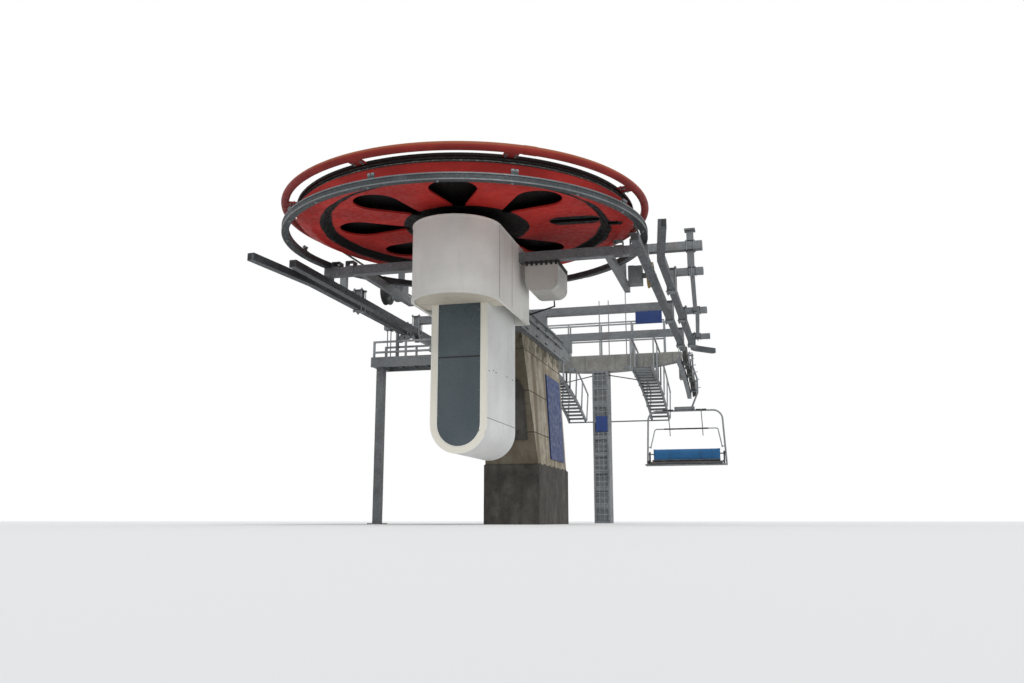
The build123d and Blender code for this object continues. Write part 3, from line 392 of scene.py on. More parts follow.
@dataclass(frozen=True)
class Galvanised:
    """Hot-dip zinc gone dull, with spangle, pale bloom and brown runs."""

    name: str
    base: Colour = (0.15, 0.16, 0.168)
    bloom: Colour = (0.25, 0.262, 0.268)
    rust: Colour = (0.20, 0.12, 0.07)
    rust_share: float = 0.18

    def make(self) -> bpy.types.Material:
        """Builds the material.

        Returns:
            The material.
        """
        graph = Graph(self.name, 0.35)
        spangle = graph.remap(graph.cells(55.0), 0.1, 0.9, 0.0, 0.55)
        tone = graph.blend(spangle, self.base, self.bloom)
        tone = graph.blend(graph.patches(2.6, 6.0, 0.42, 0.72, 0.7), tone, scaled(self.base, 0.72))
        runs = graph.patches(9.0, 7.0, 0.58, 0.8, self.rust_share * 2.0, 0.1)
        graph.colour(graph.blend(runs, tone, self.rust))
        graph.roughness(24.0, 4.0, 0.42, 0.68)
        graph.bump((graph.cells(55.0), 0.05, 0.001), (graph.noise(90.0, 4.0), 0.14, 0.002))
        return graph.material


@dataclass(frozen=True)
class Concrete:
    """Cast concrete with board joints, pores and water stains."""

    name: str
    base: Colour
    pale: Colour
    stain: Colour
    stain_share: float
    board: float = 0.0
    joints: tuple[float, float] = (0.0, 0.0)

    def make(self) -> bpy.types.Material:
        """Builds the material.

        Returns:
            The material.
        """
        graph = Graph(self.name, 0.0)
        tone = graph.blend(graph.patches(3.2, 9.0, 0.32, 0.68), self.base, self.pale)
        tone = graph.blend(graph.patches(4.5, 8.0, 0.42, 0.68, self.stain_share, 0.16), tone, self.stain)
        damp = graph.patches(11.0, 7.0, 0.5, 0.72, self.stain_share * 0.6)
        tone = graph.blend(damp, tone, scaled(self.stain, 0.7))
        layers = [(graph.noise(48.0, 9.0), 0.4, 0.006), (graph.voronoi(70.0, "Distance"), 0.18, 0.003)]
        if self.board:
            layers.append((graph.remap(graph.waves(self.board, "Z", 0.6), 0.0, 0.12), 0.35, 0.006))
        if self.joints[1]:
            tone = graph.blend(graph.patches(2.1, 10.0, 0.53, 0.66, 0.8, 0.05), tone, self.stain)
            # Faces turned to the front are blended towards dark brown: painted shade on the pillar's front.
            shaded = graph.facing(FRONT, 0.25, 0.6)
            tone = graph.blend(graph.math("MULTIPLY", shaded, 0.8), tone, (0.085, 0.068, 0.042))
            moss = graph.math("MULTIPLY", graph.height(2.7, 3.35), graph.patches(5.0, 9.0, 0.42, 0.62))
            tone = graph.blend(graph.math("MULTIPLY", moss, 0.75), tone, (0.030, 0.034, 0.016))
            joint = graph.lines("Z", *self.joints, 0.012)
            tone = graph.blend(joint, tone, scaled(self.stain, 0.35))
            layers.append((graph.math("SUBTRACT", 1.0, joint), 0.8, 0.01))
        graph.colour(tone)
        graph.roughness(20.0, 4.0, 0.78, 0.95)
        graph.bump(*layers)
        return graph.material


@dataclass(frozen=True)
class WheelPaint:
    """Red paint of the bullwheel, with black bands round its hub and in its step and black patches round its
    slots, all painted shade.
    """

    name: str
    base: Colour = (0.34, 0.020, 0.016)
    dark: Colour = (0.006, 0.005, 0.005)
    weathered: Colour = (0.30, 0.085, 0.04)
    weathered_over: float = 0.0
    black_over: float = 0.0
    # Inner and outer radius of each black band; on the bullwheel both bands are painted shade, round the hub
    # and in the concave step.
    black_bands: tuple[tuple[float, float], ...] = ((0.0, 1.0), (2.13, 2.30))
    # Distance of each slot's middle from the axis, half length and half width of the black patch painted
    # round it as painted shade
    slots: tuple[tuple[float, float, float], ...] = ()
    slot_turn: float = 4.0

    def make(self) -> bpy.types.Material:
        """Builds the material.

        Returns:
            The material.
        """
        graph = Graph(self.name, 0.0)
        tone = graph.blend(graph.patches(1.4, 7.0, 0.38, 0.7), self.base, scaled(self.base, 1.5))
        tone = graph.blend(graph.patches(16.0, 8.0, 0.52, 0.76, 0.2), tone, (0.055, 0.022, 0.018))
        for level, blur, colour in (
                (self.weathered_over, 0.02, self.weathered), (self.black_over, 0.003, self.dark)):
            if level:
                tone = graph.blend(graph.height(level - blur, level + blur), tone, colour)
        wobble = graph.math("MULTIPLY", graph.math("SUBTRACT", graph.noise(2.4, 6.0), 0.5), 0.10)
        reach = graph.math("ADD", graph.distance((0.0, WHEEL_Y, 0.0), (1.0, 1.0, 0.0)), wobble)
        # Black bands by distance from the axis: painted shade round the hub and in the step.
        for low, high in self.black_bands:
            inside = graph.remap(reach, high - 0.01, high + 0.015, 1.0, 0.0)
            outside = graph.remap(reach, low - 0.015, low + 0.01)
            tone = graph.blend(graph.math("MULTIPLY", inside, outside), tone, self.dark)
        # Black patches round the slots: painted shade that widens their dark openings.
        for middle, half_length, half_width in self.slots:
            away = graph.reach_from_slot((0.0, WHEEL_Y), self.slot_turn, middle, half_length)
            slot = graph.remap(away, half_width - 0.006, half_width + 0.006, 1.0, 0.0)
            tone = graph.blend(slot, tone, self.dark)
        graph.colour(graph.blend(graph.patches(70.0, 8.0, 0.71, 0.74, 0.7), tone, (0.10, 0.05, 0.035)))
        graph.shader.inputs["Specular IOR Level"].default_value = 0.13
        graph.roughness(14.0, 4.0, 0.42, 0.66)
        graph.bump((graph.noise(150.0, 3.0), 0.12, 0.002), (graph.noise(6.0, 4.0), 0.10, 0.008))
        return graph.material


@dataclass(frozen=True)
class SheaveFinish:
    """Galvanised sheave with a rubber tyre, told apart by the distance from its pin."""

    name: str
    centre: Point
    tyre: Colour = (0.028, 0.027, 0.026)
    side: Colour = (0.24, 0.25, 0.255)
    tyre_from: float = 0.185

    def make(self) -> bpy.types.Material:
        """Builds the material.

        Returns:
            The material.
        """
        graph = Graph(self.name, 0.0)
        reach = graph.distance(self.centre, (0.0, 1.0, 1.0))
        share = graph.remap(reach, self.tyre_from - 0.003, self.tyre_from + 0.003)
        grease = graph.remap(reach, 0.03, 0.085, 0.85, 0.0)
        side = graph.blend(grease, self.side, (0.03, 0.028, 0.024))
        tone = graph.blend(share, side, self.tyre)
        graph.colour(graph.blend(graph.patches(12.0, 7.0, 0.45, 0.75, 0.55), tone, (0.11, 0.10, 0.085)))
        bare = graph.math("MULTIPLY", graph.math("SUBTRACT", 1.0, share), 0.5)
        graph.link(bare, graph.shader.inputs["Metallic"])
        graph.roughness(24.0, 4.0, 0.5, 0.78)
        graph.bump((graph.noise(120.0, 4.0), 0.2, 0.002))
        return graph.material


@dataclass(frozen=True)
class Rubber:
    """Dusty black rubber."""

    name: str
    base: Colour = (0.022, 0.022, 0.023)
    dust: Colour = (0.10, 0.095, 0.085)

    def make(self) -> bpy.types.Material:
        """Builds the material.

        Returns:
            The material.
        """
        graph = Graph(self.name, 0.0)
        graph.colour(graph.blend(graph.patches(9.0, 7.0, 0.46, 0.74, 0.6), self.base, self.dust))
        graph.roughness(30.0, 5.0, 0.62, 0.88)
        graph.bump((graph.noise(140.0, 5.0), 0.25, 0.002))
        return graph.material


@dataclass(frozen=True)
class OiledSteel:
    """Steel strand or a machined face, dark with old grease."""

    name: str
    base: Colour = (0.11, 0.108, 0.10)
    bright: Colour = (0.34, 0.34, 0.33)

    def make(self) -> bpy.types.Material:
        """Builds the material.

        Returns:
            The material.
        """
        graph = Graph(self.name, 0.85)
        graph.colour(graph.blend(graph.patches(22.0, 6.0, 0.45, 0.75), self.base, self.bright))
        graph.roughness(60.0, 4.0, 0.32, 0.6)
        graph.bump((graph.noise(220.0, 3.0), 0.15, 0.001))
        return graph.material


@dataclass(frozen=True)
class CoatedCloth:
    """Black coated cloth with a fine weave and dust in its folds."""

    name: str
    base: Colour = (0.018, 0.019, 0.022)
    worn: Colour = (0.075, 0.075, 0.078)

    def make(self) -> bpy.types.Material:
        """Builds the material.

        Returns:
            The material.
        """
        graph = Graph(self.name, 0.0)
        graph.colour(graph.blend(graph.patches(6.0, 7.0, 0.42, 0.76), self.base, self.worn))
        graph.roughness(18.0, 4.0, 0.5, 0.72)
        weave = graph.math("MULTIPLY", graph.waves(260.0, "X"), graph.waves(260.0, "Y"))
        graph.bump((weave, 0.18, 0.0008), (graph.noise(16.0, 5.0), 0.2, 0.004))
        graph.shader.inputs["Sheen Weight"].default_value = 0.15
        return graph.material


class Finish(Enum):
    """Every finish on the object."""

    # The red wheel's slot patches and its black bands round the hub and step are painted shade.
    RED = WheelPaint("red_paint", black_over=4.793, slots=((1.745, 0.205, 0.195), (2.355, 0.04, 0.10)))
    GUARD = WheelPaint("guard_paint", (0.20, 0.022, 0.018), weathered_over=4.862, black_bands=())
    DECK = WheelPaint("deck_paint", (0.03, 0.012, 0.011), black_bands=((0.0, 2.5),))
    BLACK = Paint("black_paint", (0.012, 0.012, 0.013), (0.05, 0.045, 0.04), 0.35, 0.5)
    SOFFIT = Paint("aged_white_paint", (0.55, 0.51, 0.42), (0.28, 0.25, 0.19), 0.5, 0.5)
    CREAM = Paint(
        "capsule_paint", (0.66, 0.665, 0.65), (0.42, 0.41, 0.36), 0.2, 0.42, front=(0.75, 0.72, 0.63))
    WHITE = Paint("white_paint", (0.72, 0.715, 0.67), (0.45, 0.43, 0.36), 0.20, 0.45)
    SLATE = Paint("slate_paint", (0.055, 0.075, 0.085), (0.12, 0.12, 0.11), 0.35, 0.30)
    BLUE = Paint("blue_paint", (0.008, 0.032, 0.14), (0.018, 0.026, 0.055), 0.4, 0.45)
    SEAT_BLUE = Paint("seat_blue", (0.010, 0.105, 0.26), (0.02, 0.05, 0.12), 0.5, 0.5)
    DARK = Paint("dark_paint", (0.045, 0.045, 0.048), (0.14, 0.12, 0.10), 0.40, 0.45, 0.2)
    GREY = Paint("grey_paint", (0.42, 0.41, 0.38), (0.22, 0.20, 0.17), 0.40, 0.40)
    ZINC = Galvanised("galvanised")
    CROSSHEAD = Galvanised("stained_zinc", (0.20, 0.197, 0.185), (0.33, 0.325, 0.30), (0.14, 0.11, 0.08), 0.3)
    RAIL = Galvanised("weathered_rail", (0.055, 0.062, 0.07), (0.10, 0.108, 0.115), (0.09, 0.065, 0.05), 0.15)
    RING = Galvanised("weathered_ring", (0.035, 0.042, 0.046), (0.075, 0.085, 0.09), (0.09, 0.07, 0.055), 0.2)
    ZINC_BRIGHT = Galvanised("galvanised_bright", (0.24, 0.25, 0.26), (0.38, 0.39, 0.40), rust_share=0.08)
    PILLAR = Concrete(
        "pale_concrete", (0.40, 0.345, 0.25), (0.58, 0.53, 0.43), (0.20, 0.155, 0.10), 0.75,
        board=2.2, joints=(0.91, 0.73))
    PLINTH = Concrete("dark_concrete", (0.055, 0.050, 0.043), (0.10, 0.092, 0.078), (0.025, 0.023, 0.02), 0.6)
    RUBBER = Rubber("black_rubber")
    STEEL = OiledSteel("oiled_steel")
    CLOTH = CoatedCloth("black_cloth")

    @property
    def material(self) -> bpy.types.Material:
        """The finish's material, built on first use."""
        found = bpy.data.materials.get(FINISH_PREFIX + self.value.name)
        return found or self.value.make()


SHEAVE_NODES = {
    f"sheave_{side}_{place + 1}": (sign * ROPE_X, *on_arc(SHEAVE_START + SHEAVE_PITCH * place, SHEAVE_DROP))
    for side, sign in (("right", 1), ("left", -1)) for place in range(SHEAVES_PER_SIDE)}
SUPPORT_NODES = {
    f"support_sheave_{side}": (sign * ROPE_X, SUPPORT_Y, ROPE_Z - SHEAVE_DROP)
    for side, sign in (("right", 1), ("left", -1))}
TAN_TYRE: Colour = (0.36, 0.27, 0.10)

NODE_FINISHES: dict[Finish, tuple[str, ...]] = {
    Finish.RED: ("bullwheel",),
    Finish.GUARD: ("guard_ring",),
    Finish.DECK: ("wheel_deck",),
    Finish.WHITE: ("hood",),
    Finish.CREAM: ("capsule_shell",),
    Finish.CROSSHEAD: ("tower_crosshead",),
    Finish.SLATE: ("capsule_panels",),
    Finish.BLUE: ("side_panel", "tower_plate"),
    Finish.SEAT_BLUE: ("backrest",),
    Finish.RING: ("guide_ring",),
    Finish.RAIL: ("rails_inner", "rails_outer"),
    Finish.DARK: ("drive_cover_lid", "wheel_mast", "seat_pan"),
    Finish.GREY: ("drive_cover",),
    Finish.ZINC: (
        "girder", "tail_beam", "front_beam", "crossbeams", "outer_frame_right", "outer_frame_left",
        "platform", "platform_column", "support_brackets", "battery_beams", "rockers", "tower_column",
        "grip", "carriers", "catwalk_ties", "catwalks", "chair_hanger"),
    Finish.ZINC_BRIGHT: ("platform_rails", "tower_rails", "catwalk_rails", "chair_frame", "restraint_bar"),
    Finish.PILLAR: ("pillar",),
    Finish.PLINTH: ("plinth",),
    Finish.RUBBER: ("wheel_liner",),
    Finish.STEEL: ("rope_wrap", "rope_runs"),
    Finish.CLOTH: ("seat_pad",),
}


def linked(name: str, data: bpy.types.ID) -> bpy.types.Object:
    """Makes an object at the origin and links it to the scene.

    Args:
        name: Name of the object.
        data: Its mesh, light or camera.

    Returns:
        The object.
    """
    item = bpy.data.objects.new(name, data)
    bpy.context.scene.collection.objects.link(item)
    return item


def repaint(item: bpy.types.Object, material: bpy.types.Material) -> None:
    """Gives an object one material."""
    item.data.materials.clear()
    item.data.materials.append(material)


class Piece:
    """A mesh in the part's frame, dressed and made to ride on a body."""

    def __init__(self, name: str, mesh: bpy.types.Mesh) -> None:
        """Links the mesh, which lies in the part's frame, under a name."""
        mesh.name = name
        self.item = linked(name, mesh)

    @classmethod
    def from_bmesh(cls, name: str, work: bmesh.types.BMesh, smooth_below: float = 35.0) -> "Piece":
        """Makes a piece from a bmesh, with edges sharper than an angle left sharp.

        Args:
            name: Name of the piece.
            work: Its shape, in the part's frame. It is freed.
            smooth_below: Angle in degrees up to which an edge is smoothed.

        Returns:
            The piece.
        """
        bmesh.ops.recalc_face_normals(work, faces=work.faces)
        mesh = bpy.data.meshes.new(name)
        for face in work.faces:
            face.smooth = True
        limit = math.radians(smooth_below)
        for edge in work.edges:
            edge.smooth = len(edge.link_faces) == 2 and edge.calc_face_angle(math.pi) < limit
        work.to_mesh(mesh)
        work.free()
        return cls(name, mesh)

    @classmethod
    def placed(
            cls, name: str, work: bmesh.types.BMesh, finish: Finish, slot: str,
            body: Body = Body.STATION) -> "Piece":
        """Makes a piece of one finish that rides on a body.

        Args:
            name: Name of the piece.
            work: Its shape, in the part's frame.
            finish: Its finish.
            slot: The record's material slot that it belongs to.
            body: The body that carries it.

        Returns:
            The piece.
        """
        piece = cls.from_bmesh(name, work)
        repaint(piece.item, finish.material)
        return piece.ride(body, slot)

    def ride(self, body: Body, slot: str) -> "Piece":
        """Fixes the piece to a body and reports it.

        Args:
            body: The body that carries it.
            slot: The record's material slot that it belongs to. It is not used.

        Returns:
            The piece itself.
        """
        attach(self.item, body.value)
        LOG.info("%s rides on %s with %d faces", self.item.name, body.value, len(self.item.data.polygons))
        return self


def add_box(work: bmesh.types.BMesh, corner: Point, opposite: Point, bevel: float = 0.0) -> None:
    """Adds a box.

    Args:
        work: Mesh that gets it.
        corner: Any corner.
        opposite: The corner across from it.
        bevel: Width by which the edges are broken.
    """
    low, high = (Vector(pick(pair) for pair in zip(corner, opposite)) for pick in (min, max))
    size = high - low
    middle = (high + low) / 2
    made = bmesh.ops.create_cube(
        work, size=1.0, matrix=Matrix.Translation(middle) @ Matrix.Diagonal((*size, 1.0)))
    if bevel:
        edges = {edge for vert in made["verts"] for edge in vert.link_edges}
        bmesh.ops.bevel(work, geom=list(edges), offset=bevel, segments=2, affect="EDGES", profile=0.7)


def add_tube(work: bmesh.types.BMesh, path: Sequence[Point], radius: float, sides: int = 12) -> None:
    """Adds a round bar along straight runs with mitred corners.

    Args:
        work: Mesh that gets it.
        path: Its corners and ends.
        radius: Its radius.
        sides: Faces round it.
    """
    points = [Vector(point) for point in path]
    rings = []
    for index, point in enumerate(points):
        before = (point - points[index - 1]).normalized() if index else None
        after = (points[index + 1] - point).normalized() if index + 1 < len(points) else None
        along = ((before or after) + (after or before)).normalized()
        guide = Vector((0, 0, 1)) if abs(along.z) < 0.95 else Vector((1, 0, 0))
        across = along.cross(guide).normalized()
        up = across.cross(along).normalized()
        widen = 1.0 / max(0.5, along.dot(after or before))
        ring = []
        for step in range(sides):
            angle = 2 * math.pi * step / sides
            spoke = math.cos(angle) * across + widen * math.sin(angle) * up
            ring.append(work.verts.new(point + radius * spoke))
        rings.append(ring)
    for first, second in zip(rings, rings[1:]):
        for step in range(sides):
            follow = (step + 1) % sides
            work.faces.new((first[step], first[follow], second[follow], second[step]))
    work.faces.new(reversed(rings[0]))
    work.faces.new(rings[-1])


def add_prism(work: bmesh.types.BMesh, outline: Sequence[Point], depth: Point) -> None:
    """Adds a flat outline thickened along a direction.

    Args:
        work: Mesh that gets it.
        outline: Corners of the outline.
        depth: Direction and distance to the far face.
    """
    near = [work.verts.new(point) for point in outline]
    far = [work.verts.new(Vector(point) + Vector(depth)) for point in outline]
    work.faces.new(near)
    work.faces.new(reversed(far))
    for index, vert in enumerate(near):
        follow = (index + 1) % len(near)
        work.faces.new((vert, far[index], far[follow], near[follow]))


def add_wall(
        work: bmesh.types.BMesh, outer: Sequence[tuple[float, float]], inner: Sequence[tuple[float, float]],
        low: float, high: float) -> None:
    """Adds an upright band between two open plan lines.

    Args:
        work: Mesh that gets it.
        outer: Points of the outer line.
        inner: As many points of the inner line.
        low: Lower height.
        high: Upper height.
    """
    rings = []
    for (ox, oy), (ix, iy) in zip(outer, inner):
        corners = ((ox, oy, low), (ox, oy, high), (ix, iy, high), (ix, iy, low))
        rings.append([work.verts.new(corner) for corner in corners])
    for first, second in zip(rings, rings[1:]):
        for index in range(4):
            follow = (index + 1) % 4
            work.faces.new((first[index], first[follow], second[follow], second[index]))
    work.faces.new(rings[0])
    work.faces.new(reversed(rings[-1]))


def add_helix(
        work: bmesh.types.BMesh, start: Point, length: Point, radius: float, wire: float, turns: int) -> None:
    """Adds a coil spring.

    Args:
        work: Mesh that gets it.
        start: Start of its axis.
        length: Direction and length of its axis.
        radius: Radius of the coil.
        wire: Radius of the wire.
        turns: Turns of the coil.
    """
    axis = Vector(length)
    side = axis.normalized().cross(Vector((0.0, 0.0, 1.0))).normalized()
    up = side.cross(axis.normalized())
    steps_per_turn = 12
    steps = turns * steps_per_turn
    path = []
    for index in range(steps + 1):
        angle = 2 * math.pi * index / steps_per_turn
        spoke = math.cos(angle) * side + math.sin(angle) * up
        path.append(tuple(Vector(start) + axis * index / steps + radius * spoke))
    add_tube(work, path, wire, 6)


class GeometryTree(Nodes):
    """Geometry Nodes tree with named inputs that ends in Set Material."""

    def __init__(self, name: str, geometry: str, numbers: Sequence[str], counts: Sequence[str] = ()) -> None:
        """Starts a tree.

        Args:
            name: Name of the tree.
            geometry: Name of its geometry input.
            numbers: Names of its number inputs.
            counts: Names of its whole-number inputs.
        """
        super().__init__(bpy.data.node_groups.new(name, "GeometryNodeTree"))
        kinds = [(geometry, "Geometry"), *((label, "Float") for label in numbers)]
        kinds += [*((label, "Int") for label in counts), ("Finish", "Material")]
        for label, kind in kinds:
            self.tree.interface.new_socket(label, in_out="INPUT", socket_type="NodeSocket" + kind)
        self.tree.interface.new_socket("Mesh", in_out="OUTPUT", socket_type="NodeSocketGeometry")
        self.entry = self.tree.nodes.new("NodeGroupInput").outputs

    def close(self, geometry: Socket) -> bpy.types.NodeTree:
        """Ends the tree with the finish.

        Args:
            geometry: Geometry that leaves the tree.

        Returns:
            The tree.
        """
        paint = self.add("GeometryNodeSetMaterial", {"Geometry": geometry, "Material": self.entry["Finish"]})
        self.add("NodeGroupOutput", {"Mesh": paint.outputs["Geometry"]})
        return self.tree


class FastenerSet:
    """Hexagon heads on washers, set at points by a Geometry Nodes tree."""

    # Sides, radius, depth and rise of washer, head and rod end, as shares of the head's width
    discs = ((12, 0.85, 0.14, 0.07), (6, 0.55, 0.5, 0.39), (8, 0.28, 0.3, 0.79))

    def __init__(self, name: str, head: float, finish: Finish) -> None:
        """Starts an empty set.

        Args:
            name: Name of the piece.
            head: Width of a head in metres.
            finish: Finish of the heads.
        """
        self.name = name
        self.head = head
        self.finish = finish
        self.spots: list[tuple[Vector, Vector]] = []

    def add(self, spot: Point, facing: Point) -> None:
        """Adds one fastener that faces along a direction."""
        self.spots.append((Vector(spot), Vector(facing).normalized()))

    def build_tree(self) -> bpy.types.NodeTree:
        """Builds the tree that puts a head on every point.

        Returns:
            The tree.
        """
        tree = GeometryTree(self.name + "_tree", "Points", ("Head Width",))
        width = tree.entry["Head Width"]
        join = tree.add("GeometryNodeJoinGeometry", {})
        for sides, radius, depth, rise in self.discs:
            disc = tree.add("GeometryNodeMeshCylinder", {
                "Vertices": sides, "Radius": tree.math("MULTIPLY", width, radius),
                "Depth": tree.math("MULTIPLY", width, depth)})
            lift = tree.add("ShaderNodeCombineXYZ", {"Z": tree.math("MULTIPLY", width, rise)})
            move = tree.add("GeometryNodeTransform", {
                "Geometry": disc.outputs["Mesh"], "Translation": lift.outputs["Vector"]})
            tree.link(move.outputs["Geometry"], join.inputs["Geometry"])
        facing = tree.add("GeometryNodeInputNamedAttribute", {"Name": "facing"}, data_type="FLOAT_VECTOR")
        turn = tree.add(
            "FunctionNodeAlignRotationToVector", {"Vector": facing.outputs["Attribute"]}, axis="Z")
        place = tree.add("GeometryNodeInstanceOnPoints", {
            "Points": tree.entry["Points"], "Instance": join.outputs["Geometry"],
            "Rotation": turn.outputs["Rotation"]})
        real = tree.add("GeometryNodeRealizeInstances", {"Geometry": place.outputs["Instances"]})
        return tree.close(real.outputs["Geometry"])

    def build(self, body: Body, slot: str) -> Piece:
        """Turns the points into one plain mesh.

        Args:
            body: The body that carries it.
            slot: The record's material slot that it belongs to.

        Returns:
            The piece, which rides on the body.
        """
        mesh = bpy.data.meshes.new(self.name)
        mesh.from_pydata([spot for spot, _ in self.spots], [], [])
        facing = mesh.attributes.new("facing", "FLOAT_VECTOR", "POINT")
        for index, (_, direction) in enumerate(self.spots):
            facing.data[index].vector = direction
        made = realised(mesh, self.build_tree(), {"Head Width": self.head, "Finish": self.finish.material})
        return Piece(self.name, made).ride(body, slot)


class BarSet:
    """Eight-sided bars between pairs of points, made by a Geometry Nodes tree."""

    sides = 8

    def __init__(self, name: str, radius: float, finish: Finish) -> None:
        """Starts an empty set.

        Args:
            name: Name of the piece.
            radius: Radius of the bars in metres.
            finish: Finish of the bars.
        """
        self.name = name
        self.radius = radius
        self.finish = finish
        self.ends: list[Point] = []

    def add(self, start: Point, end: Point) -> None:
        """Adds one bar."""
        self.ends += [start, end]

    def build_tree(self) -> bpy.types.NodeTree:
        """Builds the tree that thickens every edge.

        Returns:
            The tree.
        """
        tree = GeometryTree(self.name + "_tree", "Lines", ("Bar Radius",))
        curve = tree.add("GeometryNodeMeshToCurve", {"Mesh": tree.entry["Lines"]})
        outline = tree.add("GeometryNodeCurvePrimitiveCircle", {
            "Resolution": self.sides, "Radius": tree.entry["Bar Radius"]})
        sweep = tree.add("GeometryNodeCurveToMesh", {
            "Curve": curve.outputs["Curve"], "Profile Curve": outline.outputs["Curve"], "Fill Caps": True})
        return tree.close(sweep.outputs["Mesh"])

    def build(self, body: Body, slot: str) -> Piece:
        """Turns the bars into one plain mesh.

        Args:
            body: The body that carries it.
            slot: The record's material slot that it belongs to.

        Returns:
            The piece, which rides on the body.
        """
        mesh = bpy.data.meshes.new(self.name)
        mesh.from_pydata(self.ends, [(index, index + 1) for index in range(0, len(self.ends), 2)], [])
        made = realised(mesh, self.build_tree(), {"Bar Radius": self.radius, "Finish": self.finish.material})
        return Piece(self.name, made).ride(body, slot)


def realised(start: bpy.types.Mesh, tree: bpy.types.NodeTree, values: dict[str, object]) -> bpy.types.Mesh:
    """Runs a Geometry Nodes tree on a mesh and gives the plain mesh that comes out.

    Args:
        start: Mesh that enters the tree.
        tree: The tree.
        values: Value of each named input.

    Returns:
        The mesh that the tree makes.
    """
    carrier = linked(start.name + "_carrier", start)
    modifier = carrier.modifiers.new("nodes", "NODES")
    modifier.node_group = tree
    for socket in tree.interface.items_tree:
        if socket.item_type == "SOCKET" and socket.in_out == "INPUT" and socket.name in values:
            modifier[socket.identifier] = values[socket.name]
    graph = bpy.context.evaluated_depsgraph_get()
    mesh = bpy.data.meshes.new_from_object(carrier.evaluated_get(graph), depsgraph=graph)
    bpy.data.objects.remove(carrier)
    return mesh


@dataclass
class Stage:
    """Floor, soft light and the camera at the photograph's place."""

    camera_place: Point = (4.27, -17.385, 0.06)
    camera_pitch: float = 11.2
    camera_yaw: float = 14.84
    lens: float = 31.9
    floor_half: float = 160.0
    sky: Colour = (0.93, 0.96, 1.0)
    sky_strength: float = 0.55
    sun_strength: float = 1.5
    sun_width: float = 24.0
    sun_turns: Point = (48.0, 6.0, 28.0)

    def build(self) -> None:
        """Makes the floor, the lamps, the world and the camera."""
        self.build_floor()
        self.build_light()
        self.build_camera()

    def build_floor(self) -> None:
        """Makes the pale floor, whose far part shows as white."""
        work = bmesh.new()
        bmesh.ops.create_grid(work, x_segments=2, y_segments=2, size=self.floor_half)
        floor = Piece.from_bmesh("floor", work)
        graph = Graph("floor_pale", 0.0)
        graph.shader.inputs["Base Color"].default_value = (0.92, 0.92, 0.91, 1.0)
        graph.shader.inputs["Roughness"].default_value = 0.9
        floor.item.data.materials.append(graph.material)

    def build_light(self) -> None:
        """Sets a soft sky of one tone and one broad sun."""
        world = bpy.data.worlds.new("studio")
        bpy.context.scene.world = world
        world.use_nodes = True
        studio = Nodes(world.node_tree)
        light = studio.tree.nodes["Background"]
        light.inputs["Color"].default_value = (*self.sky, 1.0)
        light.inputs["Strength"].default_value = self.sky_strength
        seen = studio.add("ShaderNodeBackground", {"Color": (1.0, 1.0, 1.0, 1.0), "Strength": 1.0})
        ray = studio.add("ShaderNodeLightPath", {}).outputs
        share = ray["Is Camera Ray"]
        for name in ("Is Glossy Ray", "Is Transmission Ray"):
            share = studio.add(
                "ShaderNodeMath", {0: share, 1: ray[name]}, operation="ADD", use_clamp=True).outputs["Value"]
        mix = studio.add("ShaderNodeMixShader", {
            "Fac": share, 1: light.outputs["Background"], 2: seen.outputs["Background"]})
        studio.link(mix.outputs["Shader"], studio.tree.nodes["World Output"].inputs["Surface"])
        sun = bpy.data.lights.new("broad_sun", "SUN")
        sun.energy = self.sun_strength
        sun.angle = math.radians(self.sun_width)
        linked("broad_sun", sun).rotation_euler = [math.radians(turn) for turn in self.sun_turns]

    def build_camera(self) -> None:
        """Places the camera where the photographer stood."""
        data = bpy.data.cameras.new("camera")
        data.lens = self.lens
        data.sensor_width = 36.0
        data.clip_end = 400.0
        camera = linked("camera", data)
        camera.location = self.camera_place
        camera.rotation_euler = (math.radians(90.0 + self.camera_pitch), 0.0, math.radians(self.camera_yaw))
        bpy.context.scene.camera = camera
        bpy.context.scene.view_settings.view_transform = "Standard"


